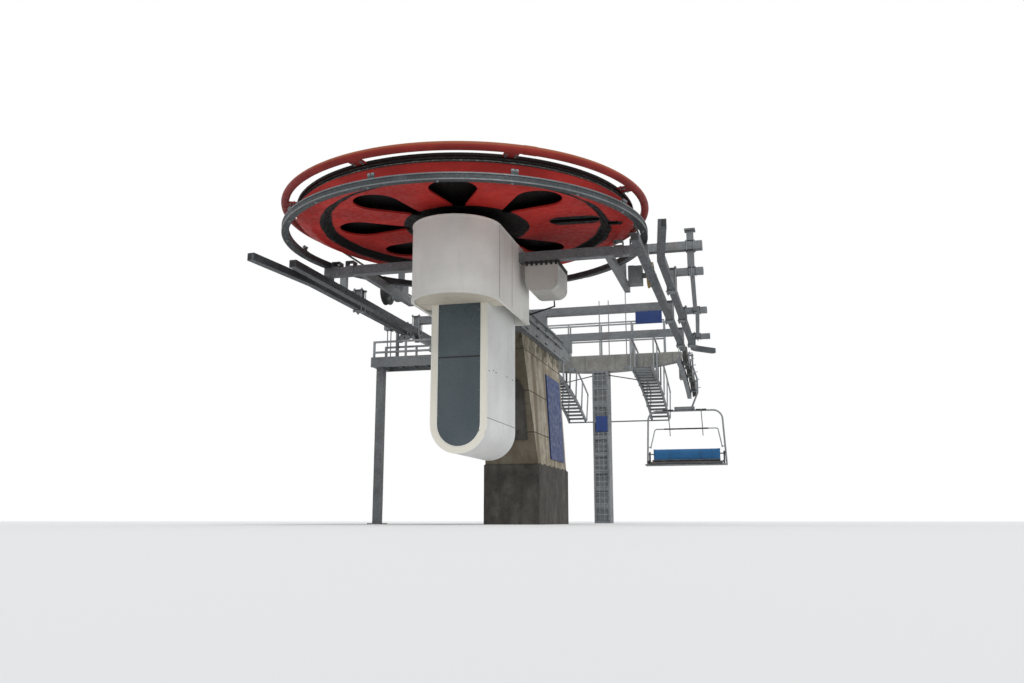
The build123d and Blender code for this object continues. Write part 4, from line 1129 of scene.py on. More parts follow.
@dataclass
class HaulRope:
    """Six-strand haul rope, laid along the wheel, the spans and the tower's arc."""

    lay_length: float = 0.20
    step: float = 0.025
    strands: int = 6
    hollow: float = 0.80
    turn_steps: int = 96
    arc_step: float = 0.1

    def path(self) -> list[Point]:
        """Works out the rope's line.

        Returns:
            Its points, from its right end round the wheel to its left end.
        """
        count = round(ROPE_END_S / self.arc_step)
        right = [(ROPE_X, *on_arc(ROPE_END_S * (1 - index / count), 0.0)) for index in range(count + 1)]
        turn = [
            (*on_wheel(ROPE_X, -math.pi * index / self.turn_steps), ROPE_Z)
            for index in range(self.turn_steps + 1)]
        left = [(-x, y, z) for x, y, z in reversed(right)]
        return right + turn + left

    def build_tree(self) -> bpy.types.NodeTree:
        """Builds the tree that turns a line of edges into twisted strands.

        Returns:
            The tree.
        """
        tree = GeometryTree(
            "haul_rope_tree", "Line", ("Rope Radius", "Step", "Lay Length", "Hollow"), ("Strands",))
        curve = tree.add("GeometryNodeMeshToCurve", {"Mesh": tree.entry["Line"]})
        even = tree.add(
            "GeometryNodeResampleCurve", {"Curve": curve.outputs["Curve"], "Length": tree.entry["Step"]},
            mode="LENGTH")
        along = tree.add("GeometryNodeSplineParameter", {})
        turns = tree.math("DIVIDE", along.outputs["Length"], tree.entry["Lay Length"])
        tilt = tree.add("GeometryNodeSetCurveTilt", {
            "Curve": even.outputs["Curve"], "Tilt": tree.math("MULTIPLY", turns, 2 * math.pi)})
        radius = tree.entry["Rope Radius"]
        star = tree.add("GeometryNodeCurveStar", {
            "Points": tree.entry["Strands"], "Outer Radius": radius,
            "Inner Radius": tree.math("MULTIPLY", radius, tree.entry["Hollow"])})
        sweep = tree.add("GeometryNodeCurveToMesh", {
            "Curve": tilt.outputs["Curve"], "Profile Curve": star.outputs["Curve"], "Fill Caps": True})
        return tree.close(sweep.outputs["Mesh"])

    def build(self) -> None:
        """Makes the rope as one mesh that stands for both CAD ropes."""
        points = self.path()
        line = bpy.data.meshes.new("rope_line")
        line.from_pydata(points, [(index, index + 1) for index in range(len(points) - 1)], [])
        mesh = realised(line, self.build_tree(), {
            "Rope Radius": ROPE_RADIUS, "Step": self.step, "Lay Length": self.lay_length,
            "Hollow": self.hollow, "Strands": self.strands, "Finish": Finish.STEEL.material})
        rope = Piece("haul_rope", mesh).ride(Body.STATION, "rope_steel")
        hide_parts("rope_wrap", "rope_runs")


@dataclass
class Wheelhead:
    """Bolts on the bullwheel and its guard ring, with the sleeves on the ring's joints."""

    # Count, radius and height of the bolts on the hub and on the step
    hub: tuple[int, float, float] = (16, 0.36, 4.5603)
    step: tuple[int, float, float] = (32, 2.275, 4.61)
    # Radius of the ring, radius of its tube and height
    guard_ring: tuple[float, float, float] = (2.835, 0.06, 4.855)
    brackets: int = 8
    bracket_phase: float = -60.0
    bracket_bolts: tuple[float, float] = (2.70, 2.755)
    bracket_z: tuple[float, float] = (4.80, 4.825)
    bolt_half: float = 0.07
    sleeves: tuple[float, float] = (-57.0, 123.0)
    sleeve_step: float = 0.9
    sleeve_wall: float = 0.004

    def build(self) -> None:
        """Makes the wheel's fasteners and the ring's sleeves."""
        small = FastenerSet("wheel_bolts", 0.018, Finish.BLACK)
        for count, radius, level in (self.hub, self.step):
            for step in range(count):
                small.add((*on_wheel(radius, 2 * math.pi * (step + 0.5) / count), level), (0, 0, -1))
        small.build(Body.WHEEL, "red_paint")
        plate = FastenerSet("guard_bolts", 0.024, Finish.ZINC)
        for index in range(self.brackets):
            turn = math.radians(self.bracket_phase + index * 360 / self.brackets)
            for side in (-1, 1):
                for radius in self.bracket_bolts:
                    x, y = on_wheel(radius, turn)
                    x -= side * self.bolt_half * math.sin(turn)
                    y += side * self.bolt_half * math.cos(turn)
                    plate.add((x, y, self.bracket_z[0]), (0, 0, -1))
                    if radius == self.bracket_bolts[0]:
                        plate.add((x, y, self.bracket_z[1]), (0, 0, 1))
        plate.build(Body.WHEEL, "red_paint")
        self.build_sleeve()

    def build_sleeve(self) -> None:
        """Makes the sleeve over each butt joint of the guard tube."""
        radius, tube, level = self.guard_ring
        work = bmesh.new()
        for start in self.sleeves:
            turns = [math.radians(start + step * self.sleeve_step) for step in range(5)]
            path = [(*on_wheel(radius, turn), level) for turn in turns]
            add_tube(work, path, tube + self.sleeve_wall, 20)
        Piece.placed("guard_sleeves", work, Finish.GUARD, "red_paint", Body.WHEEL)


@dataclass
class HoodAndCapsule:
    """Seams, rivets, lips and soffit of the hood, and the capsule's trim."""

    half: float = 0.69
    nose: float = -4.555
    back: float = -2.735
    bottom: float = 3.33
    top: float = 4.53
    wall: float = 0.04
    seams: tuple[float, ...] = (-4.60, -3.87)
    capsule_half: float = 0.45
    capsule_front: float = -4.425
    capsule_back: float = -2.765
    seam_half: float = 0.005
    seam_depth: tuple[float, float] = (-0.001, 0.0015)
    # First rivet above the foot, pitch and count
    rivets: tuple[float, float, int] = (0.10, 0.145, 8)
    rivet_shift: float = 0.03
    nose_z: float = 1.5
    beads_top: float = 3.78
    # Half width of each bead and radius of its tube
    beads: tuple[tuple[float, float], ...] = ((0.345, 0.007), (0.447, 0.006))
    side_seam: tuple[float, float] = (1.576, 1.584)
    # Half width, lower and upper height
    panel_seam: tuple[float, float, float] = (0.341, 2.508, 2.532)
    screw_x: float = 0.31
    screw_levels: tuple[float, ...] = (1.62, 2.0, 2.44, 2.60, 2.95, 3.25)
    side_screws: tuple[tuple[float, float], ...] = (
        (-4.33, 2.30), (-4.10, 2.34), (-3.95, 2.33), (-3.30, 2.36), (-2.95, 2.36))

    def plan(self, half: float, back: float) -> list[tuple[float, float]]:
        """Works out the U-shaped plan of the hood.

        Args:
            half: Half of its width.
            back: Y of its back ends.

        Returns:
            Its points, from back right to back left.
        """
        turns = [-math.pi * step / 40 for step in range(41)]
        nose = [(half * math.cos(turn), self.nose + half * math.sin(turn)) for turn in turns]
        return [(half, back), *nose, (-half, back)]

    def build(self) -> None:
        """Makes the pieces of the hood and of the capsule."""
        self.build_strips()
        self.build_soffit()
        self.build_capsule_trim()

    def build_strips(self) -> None:
        """Makes the seams with their rivets, and the lips round the foot and the top."""
        work, seams = bmesh.new(), bmesh.new()
        rivets = FastenerSet("hood_rivets", 0.012, Finish.WHITE)
        start, pitch, count = self.rivets
        for seam in self.seams:
            for side in (-1, 1):
                at = side * math.sqrt(self.half ** 2 - min(0.0, seam - self.nose) ** 2)
                inside, outside = (at + side * depth for depth in self.seam_depth)
                add_box(
                    seams, (inside, seam - self.seam_half, self.bottom + 0.035),
                    (outside, seam + self.seam_half, self.top - 0.03), 0.0004)
                for step in range(count):
                    for shift in (-self.rivet_shift, self.rivet_shift):
                        spot = (inside, seam + shift, self.bottom + start + step * pitch)
                        rivets.add(spot, (side, 0, 0))
        inner = self.plan(self.half - 0.002, self.back)
        for out, low, high in (
                (0.010, self.bottom, self.bottom + 0.032), (0.007, self.top - 0.028, self.top - 0.006)):
            add_wall(work, self.plan(self.half + out, self.back), inner, low, high)
        Piece.placed("hood_seams", seams, Finish.BLACK, "dark_paint")
        Piece.placed("hood_strips", work, Finish.WHITE, "white_paint")
        rivets.build(Body.STATION, "white_paint")

    def build_soffit(self) -> None:
        """Makes the plate that closes the hood round the capsule."""
        hole, back, front = self.capsule_half + 0.006, self.capsule_front + 0.3, self.capsule_front - 0.006
        outline = self.plan(self.half - self.wall - 0.002, back)
        outline += [(-hole, back), (-hole, front), (hole, front), (hole, back)]
        work = bmesh.new()
        add_prism(work, [(x, y, self.bottom + 0.02) for x, y in outline], (0, 0, 0.006))
        Piece.placed("hood_soffit", work, Finish.SOFFIT, "white_paint")

    def build_capsule_trim(self) -> None:
        """Makes the beads round the panels and the shell, the dark seams and the screws."""
        work, front = bmesh.new(), self.capsule_front
        turns = [-math.pi * step / 24 for step in range(25)]
        for half, radius in self.beads:
            bow = [(half * math.cos(turn), front, self.nose_z + half * math.sin(turn)) for turn in turns]
            add_tube(work, [(half, front, self.beads_top), *bow, (-half, front, self.beads_top)], radius, 8)
        seams = bmesh.new()
        for side in (-1, 1):
            inside, outside = (side * (self.capsule_half + depth) for depth in self.seam_depth)
            add_box(
                seams, (inside, front + 0.01, self.side_seam[0]),
                (outside, self.capsule_back - 0.01, self.side_seam[1]), 0.0004)
        half, low, high = self.panel_seam
        add_box(seams, (-half, front + 0.0065, low), (half, front + 0.012, high), 0.001)
        Piece.placed("capsule_seams", seams, Finish.BLACK, "dark_paint")
        Piece.placed("capsule_trim", work, Finish.WHITE, "white_paint")
        screws = FastenerSet("capsule_screws", 0.014, Finish.ZINC)
        for level in self.screw_levels:
            for side in (-1, 1):
                screws.add((side * self.screw_x, front + 0.008, level), FRONT)
        for side in (-1, 1):
            for y, z in self.side_screws:
                screws.add((side * self.capsule_half, y, z), (side, 0, 0))
        screws.build(Body.STATION, "white_paint")


@dataclass
class Girder:
    """Cover sheets, flange bolts and the conduit on the girder, and the pillar's anchors."""

    half: float = 0.45
    sheet: float = 0.004
    bottom: float = 3.40
    top: float = 3.77
    joints: tuple[float, ...] = (-2.72, -1.95, -1.18, -0.41, 0.36, 1.23)
    flange_x: float = 0.47
    flange_z: tuple[float, float] = (3.37, 3.80)
    # First bolt, pitch and count
    flange_bolts: tuple[float, float, int] = (-2.65, 0.2, 20)
    anchor_x: float = 0.515
    anchor_z: float = 1.08
    anchors_y: tuple[float, ...] = (-1.2, -0.8, -0.4, 0.0, 0.4, 0.8, 1.1)
    conduit: tuple[Point, ...] = (
        (1.075, -2.72, 3.95), (1.075, -2.55, 3.95), (1.075, -2.45, 3.70), (0.62, -2.30, 3.62),
        (0.476, -2.25, 3.62))
    conduit_end: float = 1.1
    clips_y: tuple[float, ...] = (-1.9, -1.1, -0.3, 0.5)

    def build(self) -> None:
        """Makes the sheets, the bolts and the conduit."""
        work = bmesh.new()
        bolts = FastenerSet("girder_bolts", 0.026, Finish.ZINC)
        face = self.half + self.sheet
        first, pitch, count = self.flange_bolts
        for side in (-1, 1):
            for start, end in zip(self.joints, self.joints[1:]):
                add_box(
                    work, (side * self.half, start + 0.006, self.bottom + 0.01),
                    (side * face, end - 0.006, self.top - 0.01), 0.0015)
                for y in (start + 0.05, end - 0.05):
                    for z in (self.bottom + 0.05, self.top - 0.05):
                        bolts.add((side * face, y, z), (side, 0, 0))
            for step in range(count):
                for z, way in zip(self.flange_z, (-1, 1)):
                    bolts.add((side * self.flange_x, first + step * pitch, z), (0, 0, way))
            for y in self.anchors_y:
                bolts.add((side * self.anchor_x, y, self.anchor_z), (0, 0, 1))
        Piece.placed("girder_sheets", work, Finish.ZINC, "galvanised")
        bolts.build(Body.STATION, "galvanised")
        self.build_conduit()

    def build_conduit(self) -> None:
        """Makes the conduit from the drive cover along the girder, with its clips."""
        work = bmesh.new()
        x, y, z = self.conduit[-1]
        add_tube(work, self.conduit, 0.014)
        add_tube(work, [(x, y, z), (x, self.conduit_end, z)], 0.010, 10)
        for y in self.clips_y:
            add_box(work, (x - 0.024, y - 0.012, z - 0.02), (x + 0.014, y + 0.012, z + 0.02), 0.003)
        Piece.placed("conduit", work, Finish.BLACK, "dark_paint")


@dataclass
class FrameHardware:
    """Clamps, collars, brackets and tube ends of the rails' frame, and dark arched sheets of painted shade
    for the niche in the pillar.
    """

    rail_bottom: float = 4.07
    rod: float = 0.010
    plate: float = 0.012
    clamp_half: tuple[float, float] = (0.095, 0.115)
    clamp_bolts: tuple[float, float] = (0.075, 0.095)
    tubes_x: tuple[float, float, float] = (3.37, 3.295, 3.15)
    gallows: tuple[float, float] = (3.36, -1.5)
    gallows_plates: tuple[float, float] = (4.962, 4.796)
    pillar_foot: float = -1.29
    niche_shade_foot: float = 1.50
    # Half width, height of the arch and distance from the pillar of each dark sheet, painted shade of the
    # niche
    niche_shade_sheets: tuple[Point, Point] = ((0.34, 2.66, 0.014), (0.30, 2.61, 0.030))
    hook_bend: float = 0.17
    hook_start: tuple[float, float] = (0.80, 4.13)
    brackets_x: tuple[float, float] = (2.26, 2.52)
    bracket_width: float = 0.15
    bracket_sheet: float = 0.008
    bracket_y: tuple[float, float] = (-3.455, -3.285)
    board: tuple[Point, Point] = ((2.06, 0.856, 4.03), (2.60, 0.864, 4.29))
    board_straps: tuple[float, float] = (2.14, 2.52)

    def build(self) -> None:
        """Makes the clamps with their rods and nuts, and the other pieces."""
        plates, rods = bmesh.new(), bmesh.new()
        nuts = FastenerSet("clamp_nuts", 0.034, Finish.ZINC_BRIGHT)
        places = [(side * INNER_RAIL_X, y, REAR_BEAM_TOP) for side in (-1, 1) for y in REAR_BEAMS_Y]
        places += [
            (side * OUTER_RAIL_X, y, bottom + STUB_HEIGHT) for side in (-1, 1) for y, bottom, _ in STUBS[:2]]
        places.append((OUTER_RAIL_X, STUBS[2][0], STUBS[2][1] + STUB_HEIGHT))
        (half_x, half_y), (bolt_x, bolt_y) = self.clamp_half, self.clamp_bolts
        for x, y, top in places:
            for low in (top, self.rail_bottom - self.plate):
                high = low + self.plate
                add_box(plates, (x - half_x, y - half_y, low), (x + half_x, y + half_y, high), 0.003)
            for across in (-bolt_x, bolt_x):
                for along in (-bolt_y, bolt_y):
                    spot = (x + across, y + along)
                    add_tube(rods, [(*spot, self.rail_bottom - 0.035), (*spot, top + 0.04)], self.rod, 8)
                    nuts.add((*spot, top + self.plate), (0, 0, 1))
                    nuts.add((*spot, self.rail_bottom - self.plate), (0, 0, -1))
        Piece.placed("clamp_plates", plates, Finish.ZINC, "galvanised")
        Piece.placed("clamp_rods", rods, Finish.ZINC_BRIGHT, "galvanised")
        nuts.build(Body.STATION, "galvanised")
        self.build_collars()
        self.build_board()
        self.build_beam_brackets()
        self.build_rail_hook()
        self.build_niche()
        self.build_ends()

    def build_rail_hook(self) -> None:
        """Makes the turned-down end under the left inner rail."""
        work, bend, (y, z) = bmesh.new(), self.hook_bend, self.hook_start
        turns = [math.radians(15 * step) for step in range(7)]
        curve = [(y + bend * math.sin(turn), z - bend * (1 - math.cos(turn))) for turn in turns]
        line = ((y - 0.08, z), *curve, (y + bend, z - 0.22))
        add_tube(work, [(-INNER_RAIL_X, *spot) for spot in line], 0.052, 16)
        Piece.placed("rail_hook", work, Finish.RAIL, "dark_paint")

    def build_niche(self) -> None:
        """Makes dark arched sheets on the front of the pillar, painted shade for the recess of its niche."""
        low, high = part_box("pillar")
        foot, lean = self.pillar_foot, (low[1] - self.pillar_foot) / (high[2] - low[2])
        turns = [math.radians(10 * step) for step in range(19)]
        work = bmesh.new()
        for half, top, out in self.niche_shade_sheets:
            arch = [(half * math.cos(turn), top - half + half * math.sin(turn)) for turn in turns]
            outline = ((half, self.niche_shade_foot), *arch, (-half, self.niche_shade_foot))
            add_prism(work, [(x, foot + lean * (z - low[2]) - out, z) for x, z in outline], (0, 0.05, 0))
        Piece.placed("pillar_niche", work, Finish.PLINTH, "dark_concrete")

    def build_beam_brackets(self) -> None:
        """Makes the folded brackets on the front crossbeam's arms."""
        work, sheet, (front, back) = bmesh.new(), self.bracket_sheet, self.bracket_y
        for side in (-1, 1):
            for near in self.brackets_x:
                far = near + self.bracket_width
                for low in (near, far - sheet):
                    add_box(work, (side * low, front, 4.30), (side * (low + sheet), back, 4.49), 0.002)
                add_box(work, (side * near, front, 4.49 - sheet), (side * far, back, 4.49), 0.002)
                add_box(work, (side * near, front - 0.003, 4.20), (side * far, front + 0.005, 4.40), 0.002)
        Piece.placed("beam_brackets", work, Finish.ZINC, "galvanised")

    def build_collars(self) -> None:
        """Makes the bolted collars where the side tubes meet the stubs and on the gallows."""
        work, straps = bmesh.new(), BarSet("stub_straps", 0.009, Finish.ZINC_BRIGHT)
        for (y, bottom, _), x in zip(STUBS, self.tubes_x):
            for middle in (-x, x):
                for low in (middle - 0.062, middle + 0.062):
                    add_box(
                        work, (low, y - 0.092, bottom - 0.02), (low + 0.008, y + 0.092, bottom + 0.13), 0.002)
                top = bottom + STUB_HEIGHT
                add_box(
                    work, (middle - 0.07, y - 0.095, top),
                    (middle + 0.07, y + 0.095, top + self.plate), 0.002)
                for along in (y - 0.087, y + 0.087):
                    straps.add((middle, along, bottom - 0.04), (middle, along, bottom + 0.15))
        x, y = self.gallows
        for across in (x - 0.066, x + 0.066):
            for along in (y - 0.088, y + 0.088):
                straps.add((across, along, 4.79), (across, along, 4.98))
        for low in self.gallows_plates:
            add_box(work, (x - 0.085, y - 0.095, low), (x + 0.085, y + 0.095, low + self.plate), 0.002)
        Piece.placed("stub_collars", work, Finish.RAIL, "galvanised")
        straps.build(Body.STATION, "galvanised")

    def build_board(self) -> None:
        """Makes the blank blue board that hangs from the front one of the rear beams."""
        work = bmesh.new()
        add_box(work, *self.board, 0.002)
        Piece.placed("hanging_board", work, Finish.BLUE, "blue_paint")
        work, back = bmesh.new(), self.board[1][1]
        for x in self.board_straps:
            add_box(work, (x - 0.015, back, 4.05), (x + 0.015, back + 0.006, 4.40), 0.001)
            add_box(work, (x - 0.015, back + 0.002, 4.33), (x + 0.015, back + 0.017, 4.36), 0.001)
        Piece.placed("board_straps", work, Finish.ZINC, "galvanised")

    def build_ends(self) -> None:
        """Makes black plates in the rails' front ends and the stubs' ends, painted shade for their dark
        openings.
        """
        work = bmesh.new()
        for side in (-1, 1):
            for x, y in ((side * INNER_RAIL_X, -4.675), (side * 3.20, -5.195)):
                add_box(work, (x - 0.048, y - 0.002, 4.082), (x + 0.048, y + 0.001, 4.178), 0.0005)
            for y, bottom, x in STUBS:
                add_box(
                    work, (side * (x - 0.001), y - 0.06, bottom + 0.01),
                    (side * (x + 0.002), y + 0.06, bottom + 0.10), 0.0005)
        Piece.placed("tube_mouths", work, Finish.BLACK, "dark_paint")


@dataclass
class RingHardware:
    """Splice plates, lips, posts and bolts of the guide ring."""

    radius: float = 2.81
    top: float = 4.48
    bottom: float = 4.385
    splices: tuple[float, ...] = (-200.0, -135.0, -90.0, -45.0, 20.0)
    posts: tuple[float, ...] = (-179.0, -139.0, -99.0, -59.4, -19.0, 21.0)
    post_boxes: tuple[tuple[Point, Point], ...] = (
        ((-0.045, -0.06, 0.0), (0.045, 0.06, 0.010)), ((-0.012, -0.05, 0.010), (0.012, 0.05, 0.10)))

    @staticmethod
    def add_band(
            work: bmesh.types.BMesh, radii: Sequence[float], turns: Sequence[float], *levels: float) -> None:
        """Adds a curved upright band.

        Args:
            work: Mesh that gets it.
            radii: Its outer and inner radius from the wheel's axis.
            turns: Directions along it, in degrees from +X.
            levels: Its lower and upper height.
        """
        outer, inner = ([on_wheel(radius, math.radians(turn)) for turn in turns] for radius in radii)
        add_wall(work, outer, inner, *levels)

    def build(self) -> None:
        """Makes the splices, the posts, the lips and the bolts."""
        work = bmesh.new()
        bolts = FastenerSet("ring_bolts", 0.026, Finish.ZINC_BRIGHT)
        for degrees in range(-240, 61, 20):
            spot = on_wheel(self.radius, math.radians(degrees))
            bolts.add((*spot, self.bottom), (0, 0, -1))
            bolts.add((*spot, self.top), (0, 0, 1))
        face = self.radius + 0.052
        for degrees in self.splices:
            turns = [degrees - 2.0 + step * 0.8 for step in range(6)]
            self.add_band(work, (face, face * 0.998), turns, self.bottom + 0.01, self.top - 0.01)
        for degrees in self.posts:
            self.add_post(work, bolts, math.radians(degrees))
        Piece.placed("ring_splices", work, Finish.RAIL, "dark_paint")
        lips, turns = bmesh.new(), range(-238, 59, 2)
        for levels in ((self.top - 0.016, self.top + 0.002), (self.bottom - 0.002, self.bottom + 0.014)):
            self.add_band(lips, (self.radius + 0.060, self.radius + 0.048), turns, *levels)
        Piece.placed("ring_lips", lips, Finish.ZINC, "galvanised")
        bolts.build(Body.STATION, "dark_paint")

    def add_post(self, work: bmesh.types.BMesh, bolts: FastenerSet, turn: float) -> None:
        """Adds a post on the ring with its bolts.

        Args:
            work: Mesh that gets the post.
            bolts: Set that gets the bolts.
            turn: Direction of the post in radians from +X.
        """
        place = Matrix.Translation((*on_wheel(self.radius, turn), self.top)) @ Matrix.Rotation(turn, 4, "Z")
        before = set(work.verts)
        for low, high in self.post_boxes:
            add_box(work, low, high, 0.003)
        bmesh.ops.transform(work, matrix=place, verts=[vert for vert in work.verts if vert not in before])
        for side in (-1, 1):
            for across in (-0.03, 0.03):
                spot = place @ Vector((side * 0.012, across, 0.075))
                bolts.add(tuple(spot), (side * math.cos(turn), side * math.sin(turn), 0))


@dataclass
class Walkways:
    """Gratings and toe boards of the platform and the catwalks, with the platform's ribs and hangers."""

    platform_x: tuple[float, float] = (-3.55, -0.49)
    platform_y: tuple[float, float] = (0.335, 1.035)
    boards_z: tuple[float, float] = (3.40, 3.50)
    bars_y: tuple[float, float] = (0.395, 0.975)
    catwalk_x: tuple[float, float] = (1.08, 1.68)
    catwalk_s: tuple[float, float] = (0.8, 5.9)
    catwalk_drop: float = 0.42
    treads: int = 17
    # First bar from a tread's middle, pitch and count
    tread_bars: tuple[float, float, int] = (-0.09, 0.026, 8)
    cross_bars: int = 60
    cross_bars_z: float = 3.404
    # First bar, reach from it to the last one, and count
    long_bars: tuple[float, float, int] = (0.40, 0.57, 13)
    long_bars_z: float = 3.403
    ribs: int = 10
    ribs_z: float = 3.352
    hangers_x: tuple[float, float] = (-3.44, -3.36)
    hangers_z: tuple[float, float] = (3.39, 4.22)
    post: tuple[float, float] = (-3.20, 0.95)
    post_top: float = 4.215

    def build(self) -> None:
        """Makes the toe boards, the gratings, the ribs, the hangers and their post."""
        work = bmesh.new()
        (low, high), (near, far), (foot, head) = self.platform_x, self.platform_y, self.boards_z
        add_box(work, (low, near, foot), (high - 0.02, near + 0.005, head), 0.001)
        add_box(work, (low, far, foot), (high - 0.02, far - 0.005, head), 0.001)
        add_box(work, (low, near, foot), (low + 0.005, far, head), 0.001)
        Piece.placed("toe_boards", work, Finish.ZINC, "galvanised")
        bars = BarSet("gratings", 0.006, Finish.ZINC)
        start, end = self.bars_y
        for index in range(self.cross_bars):
            x = low + 0.05 + (high - low - 0.1) * index / (self.cross_bars - 1)
            bars.add((x, start, self.cross_bars_z), (x, end, self.cross_bars_z))
        first, reach, count = self.long_bars
        for index in range(count):
            y = first + reach * index / (count - 1)
            bars.add((low + 0.05, y, self.long_bars_z), (high - 0.05, y, self.long_bars_z))
        pitch = (self.catwalk_s[1] - self.catwalk_s[0]) / self.treads
        inside, outside = self.catwalk_x
        first, step_pitch, count = self.tread_bars
        for side in (-1, 1):
            for index in range(self.treads):
                y, z = on_arc(self.catwalk_s[0] + (index + 0.5) * pitch, self.catwalk_drop + 0.03)
                for step in range(count):
                    along = y + first + step * step_pitch
                    bars.add((side * (inside + 0.05), along, z), (side * (outside - 0.05), along, z))
        bars.build(Body.STATION, "galvanised")
        ribs = BarSet("platform_ribs", 0.018, Finish.ZINC)
        for index in range(self.ribs):
            x = low + 0.2 + (high - low - 0.4) * index / (self.ribs - 1)
            ribs.add((x, start, self.ribs_z), (x, end, self.ribs_z))
        ribs.build(Body.STATION, "galvanised")
        hangers = BarSet("platform_hangers", 0.012, Finish.ZINC)
        post_x, y = self.post
        for x in self.hangers_x:
            hangers.add(*((x, y, z) for z in self.hangers_z))
        hangers.build(Body.STATION, "galvanised")
        work = bmesh.new()
        for half, top, bevel in ((0.03, self.post_top, 0.003), (0.08, foot + 0.012, 0.002)):
            add_box(work, (post_x - half, y - half, foot), (post_x + half, y + half, top), bevel)
        Piece.placed("platform_post", work, Finish.ZINC, "galvanised")


@dataclass
class TowerDressing:
    """Rungs, ribs, small boxes, column grid, rope catchers and bolts of the line tower."""

    front: float = 8.835
    back: float = 9.435
    # First one, pitch and count of the rungs, the ribs and the grid's bars
    rungs: tuple[float, float, int] = (0.35, 0.28, 14)
    ribs: tuple[float, float, int] = (0.45, 0.42, 5)
    grid: tuple[float, float, int] = (0.25, 0.155, 27)
    ladder_half: float = 0.17
    ladder_out: float = 0.09
    ladder_z: tuple[float, float] = (0.3, 4.2)
    grid_half: float = 0.225
    grid_posts: tuple[float, ...] = (-0.215, -0.07, 0.07, 0.215)
    grid_z: tuple[float, float] = (0.1, 4.39)
    # Height of the crosshead's foot in the middle, its rise to the ends, and their distance
    bow: tuple[float, float, float] = (4.43, 0.23, 2.3)
    crosshead_y: tuple[float, float] = (8.934, 9.336)
    crosshead_top: float = 4.89
    box_x: tuple[float, float] = (0.75, 0.95)
    catcher_inset: float = 0.17
    catcher_drops: tuple[float, float] = (0.36, 0.06)
    bolts_z: tuple[float, ...] = (0.12, 4.2, 4.3)

    def build(self) -> None:
        """Makes the tower's small pieces."""
        self.build_rungs()
        self.build_ribs()
        self.build_catchers()
        self.build_grid()
        self.build_bolts()

    def build_rungs(self) -> None:
        """Makes the ladder on the column's back."""
        rungs = BarSet("tower_rungs", 0.012, Finish.ZINC_BRIGHT)
        y, half = self.back + self.ladder_out, self.ladder_half
        first, pitch, count = self.rungs
        for index in range(count):
            z = first + index * pitch
            rungs.add((-half, y, z), (half, y, z))
            for x in (-half, half):
                rungs.add((x, self.back, z), (x, y, z))
        for x in (-half, half):
            rungs.add(*((x, y, z) for z in self.ladder_z))
        rungs.build(Body.STATION, "galvanised")

    def build_ribs(self) -> None:
        """Makes the crosshead's ribs and two small boxes."""
        work = bmesh.new()
        first, pitch, count = self.ribs
        middle, rise, reach = self.bow
        near, far = self.box_x
        for side in (-1, 1):
            for step in range(count):
                x = side * (first + step * pitch)
                foot = middle + rise * (abs(x) / reach) ** 2
                for y, depth in zip(self.crosshead_y, (-0.01, 0.01)):
                    add_box(work, (x - 0.006, y, foot), (x + 0.006, y + depth, self.crosshead_top), 0.001)
            add_box(work, (side * near, 8.80, 4.42), (side * far, 8.93, 4.53), 0.012)
        Piece.placed("tower_ribs", work, Finish.ZINC, "galvanised")

    def build_catchers(self) -> None:
        """Makes the rope catchers beside the sheaves."""
        prongs = BarSet("rope_catchers", 0.011, Finish.ZINC_BRIGHT)
        low, high = self.catcher_drops
        for side in (-1, 1):
            x = side * (ROPE_X - self.catcher_inset)
            for index in range(SHEAVES_PER_SIDE):
                along = SHEAVE_START + SHEAVE_PITCH * index
                y, z = on_arc(along, high)
                prongs.add((x, *on_arc(along, low)), (x, y, z))
                prongs.add((x, y, z), (x + side * 0.05, y, z + 0.09))
                y, z = on_arc(along + 0.02, SHEAVE_DROP - 0.05)
                prongs.add((side * 2.675, y, z), (side * 2.80, y, z + 0.02))
        prongs.build(Body.STATION, "galvanised")

    def build_grid(self) -> None:
        """Makes the bars on the column's front, clear of its plate."""
        grid = BarSet("column_grid", 0.008, Finish.ZINC_BRIGHT)
        y, half = self.front - 0.008, self.grid_half
        foot, head = (corner[2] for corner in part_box("tower_plate"))
        first, pitch, count = self.grid
        for index in range(count):
            z = first + index * pitch
            if not foot - 0.02 < z < head + 0.02:
                grid.add((-half, y, z), (half, y, z))
        bottom, top = self.grid_z
        for x in self.grid_posts:
            for low, high in ((bottom, foot - 0.01), (head + 0.01, top)):
                grid.add((x, y, low), (x, y, high))
        grid.build(Body.STATION, "galvanised")

    def build_bolts(self) -> None:
        """Makes the ends of the sheaves' pins and the column's bolts."""
        bolts = FastenerSet("tower_bolts", 0.034, Finish.ZINC_BRIGHT)
        for nodes, reach in ((SHEAVE_NODES, 0.092), (SUPPORT_NODES, 0.082)):
            for x, y, z in nodes.values():
                side = 1 if x > 0 else -1
                bolts.add((x + side * reach, y, z), (side, 0, 0))
        for x in (-0.19, 0.19):
            for y, way in ((self.front - 0.001, -1), (self.back + 0.001, 1)):
                for z in self.bolts_z:
                    bolts.add((x, y, z), (0, way, 0))
        bolts.build(Body.STATION, "galvanised")


@dataclass
class DriveCover:
    """Clips on the drive cover's lid."""

    side: float = 1.35
    front: float = -3.45
    # First clip, pitch and count
    front_clips: tuple[float, float, int] = (0.83, 0.0817, 7)
    side_clips: tuple[float, float, int] = (-3.41, 0.084, 9)
    clip_half: float = 0.022
    foot: float = 4.16
    top: float = 4.235

    def build(self) -> None:
        """Makes the lid's clips."""
        work = bmesh.new()
        start, pitch, count = self.front_clips
        for x in (start + index * pitch for index in range(count)):
            add_box(
                work, (x - self.clip_half, self.front - 0.012, self.foot),
                (x + self.clip_half, self.front + 0.002, self.top), 0.003)
        start, pitch, count = self.side_clips
        for y in (start + index * pitch for index in range(count)):
            add_box(
                work, (self.side - 0.002, y - self.clip_half, self.foot),
                (self.side + 0.012, y + self.clip_half, self.top), 0.003)
        Piece.placed("cover_clips", work, Finish.BLACK, "dark_paint")


def at_chair(x: float, y: float, z: float) -> Point:
    """Finds a place that is given from the middle of the chair at the rope's height."""
    return CHAIR_X + x, CHAIR_Y + y, CHAIR_Z + z


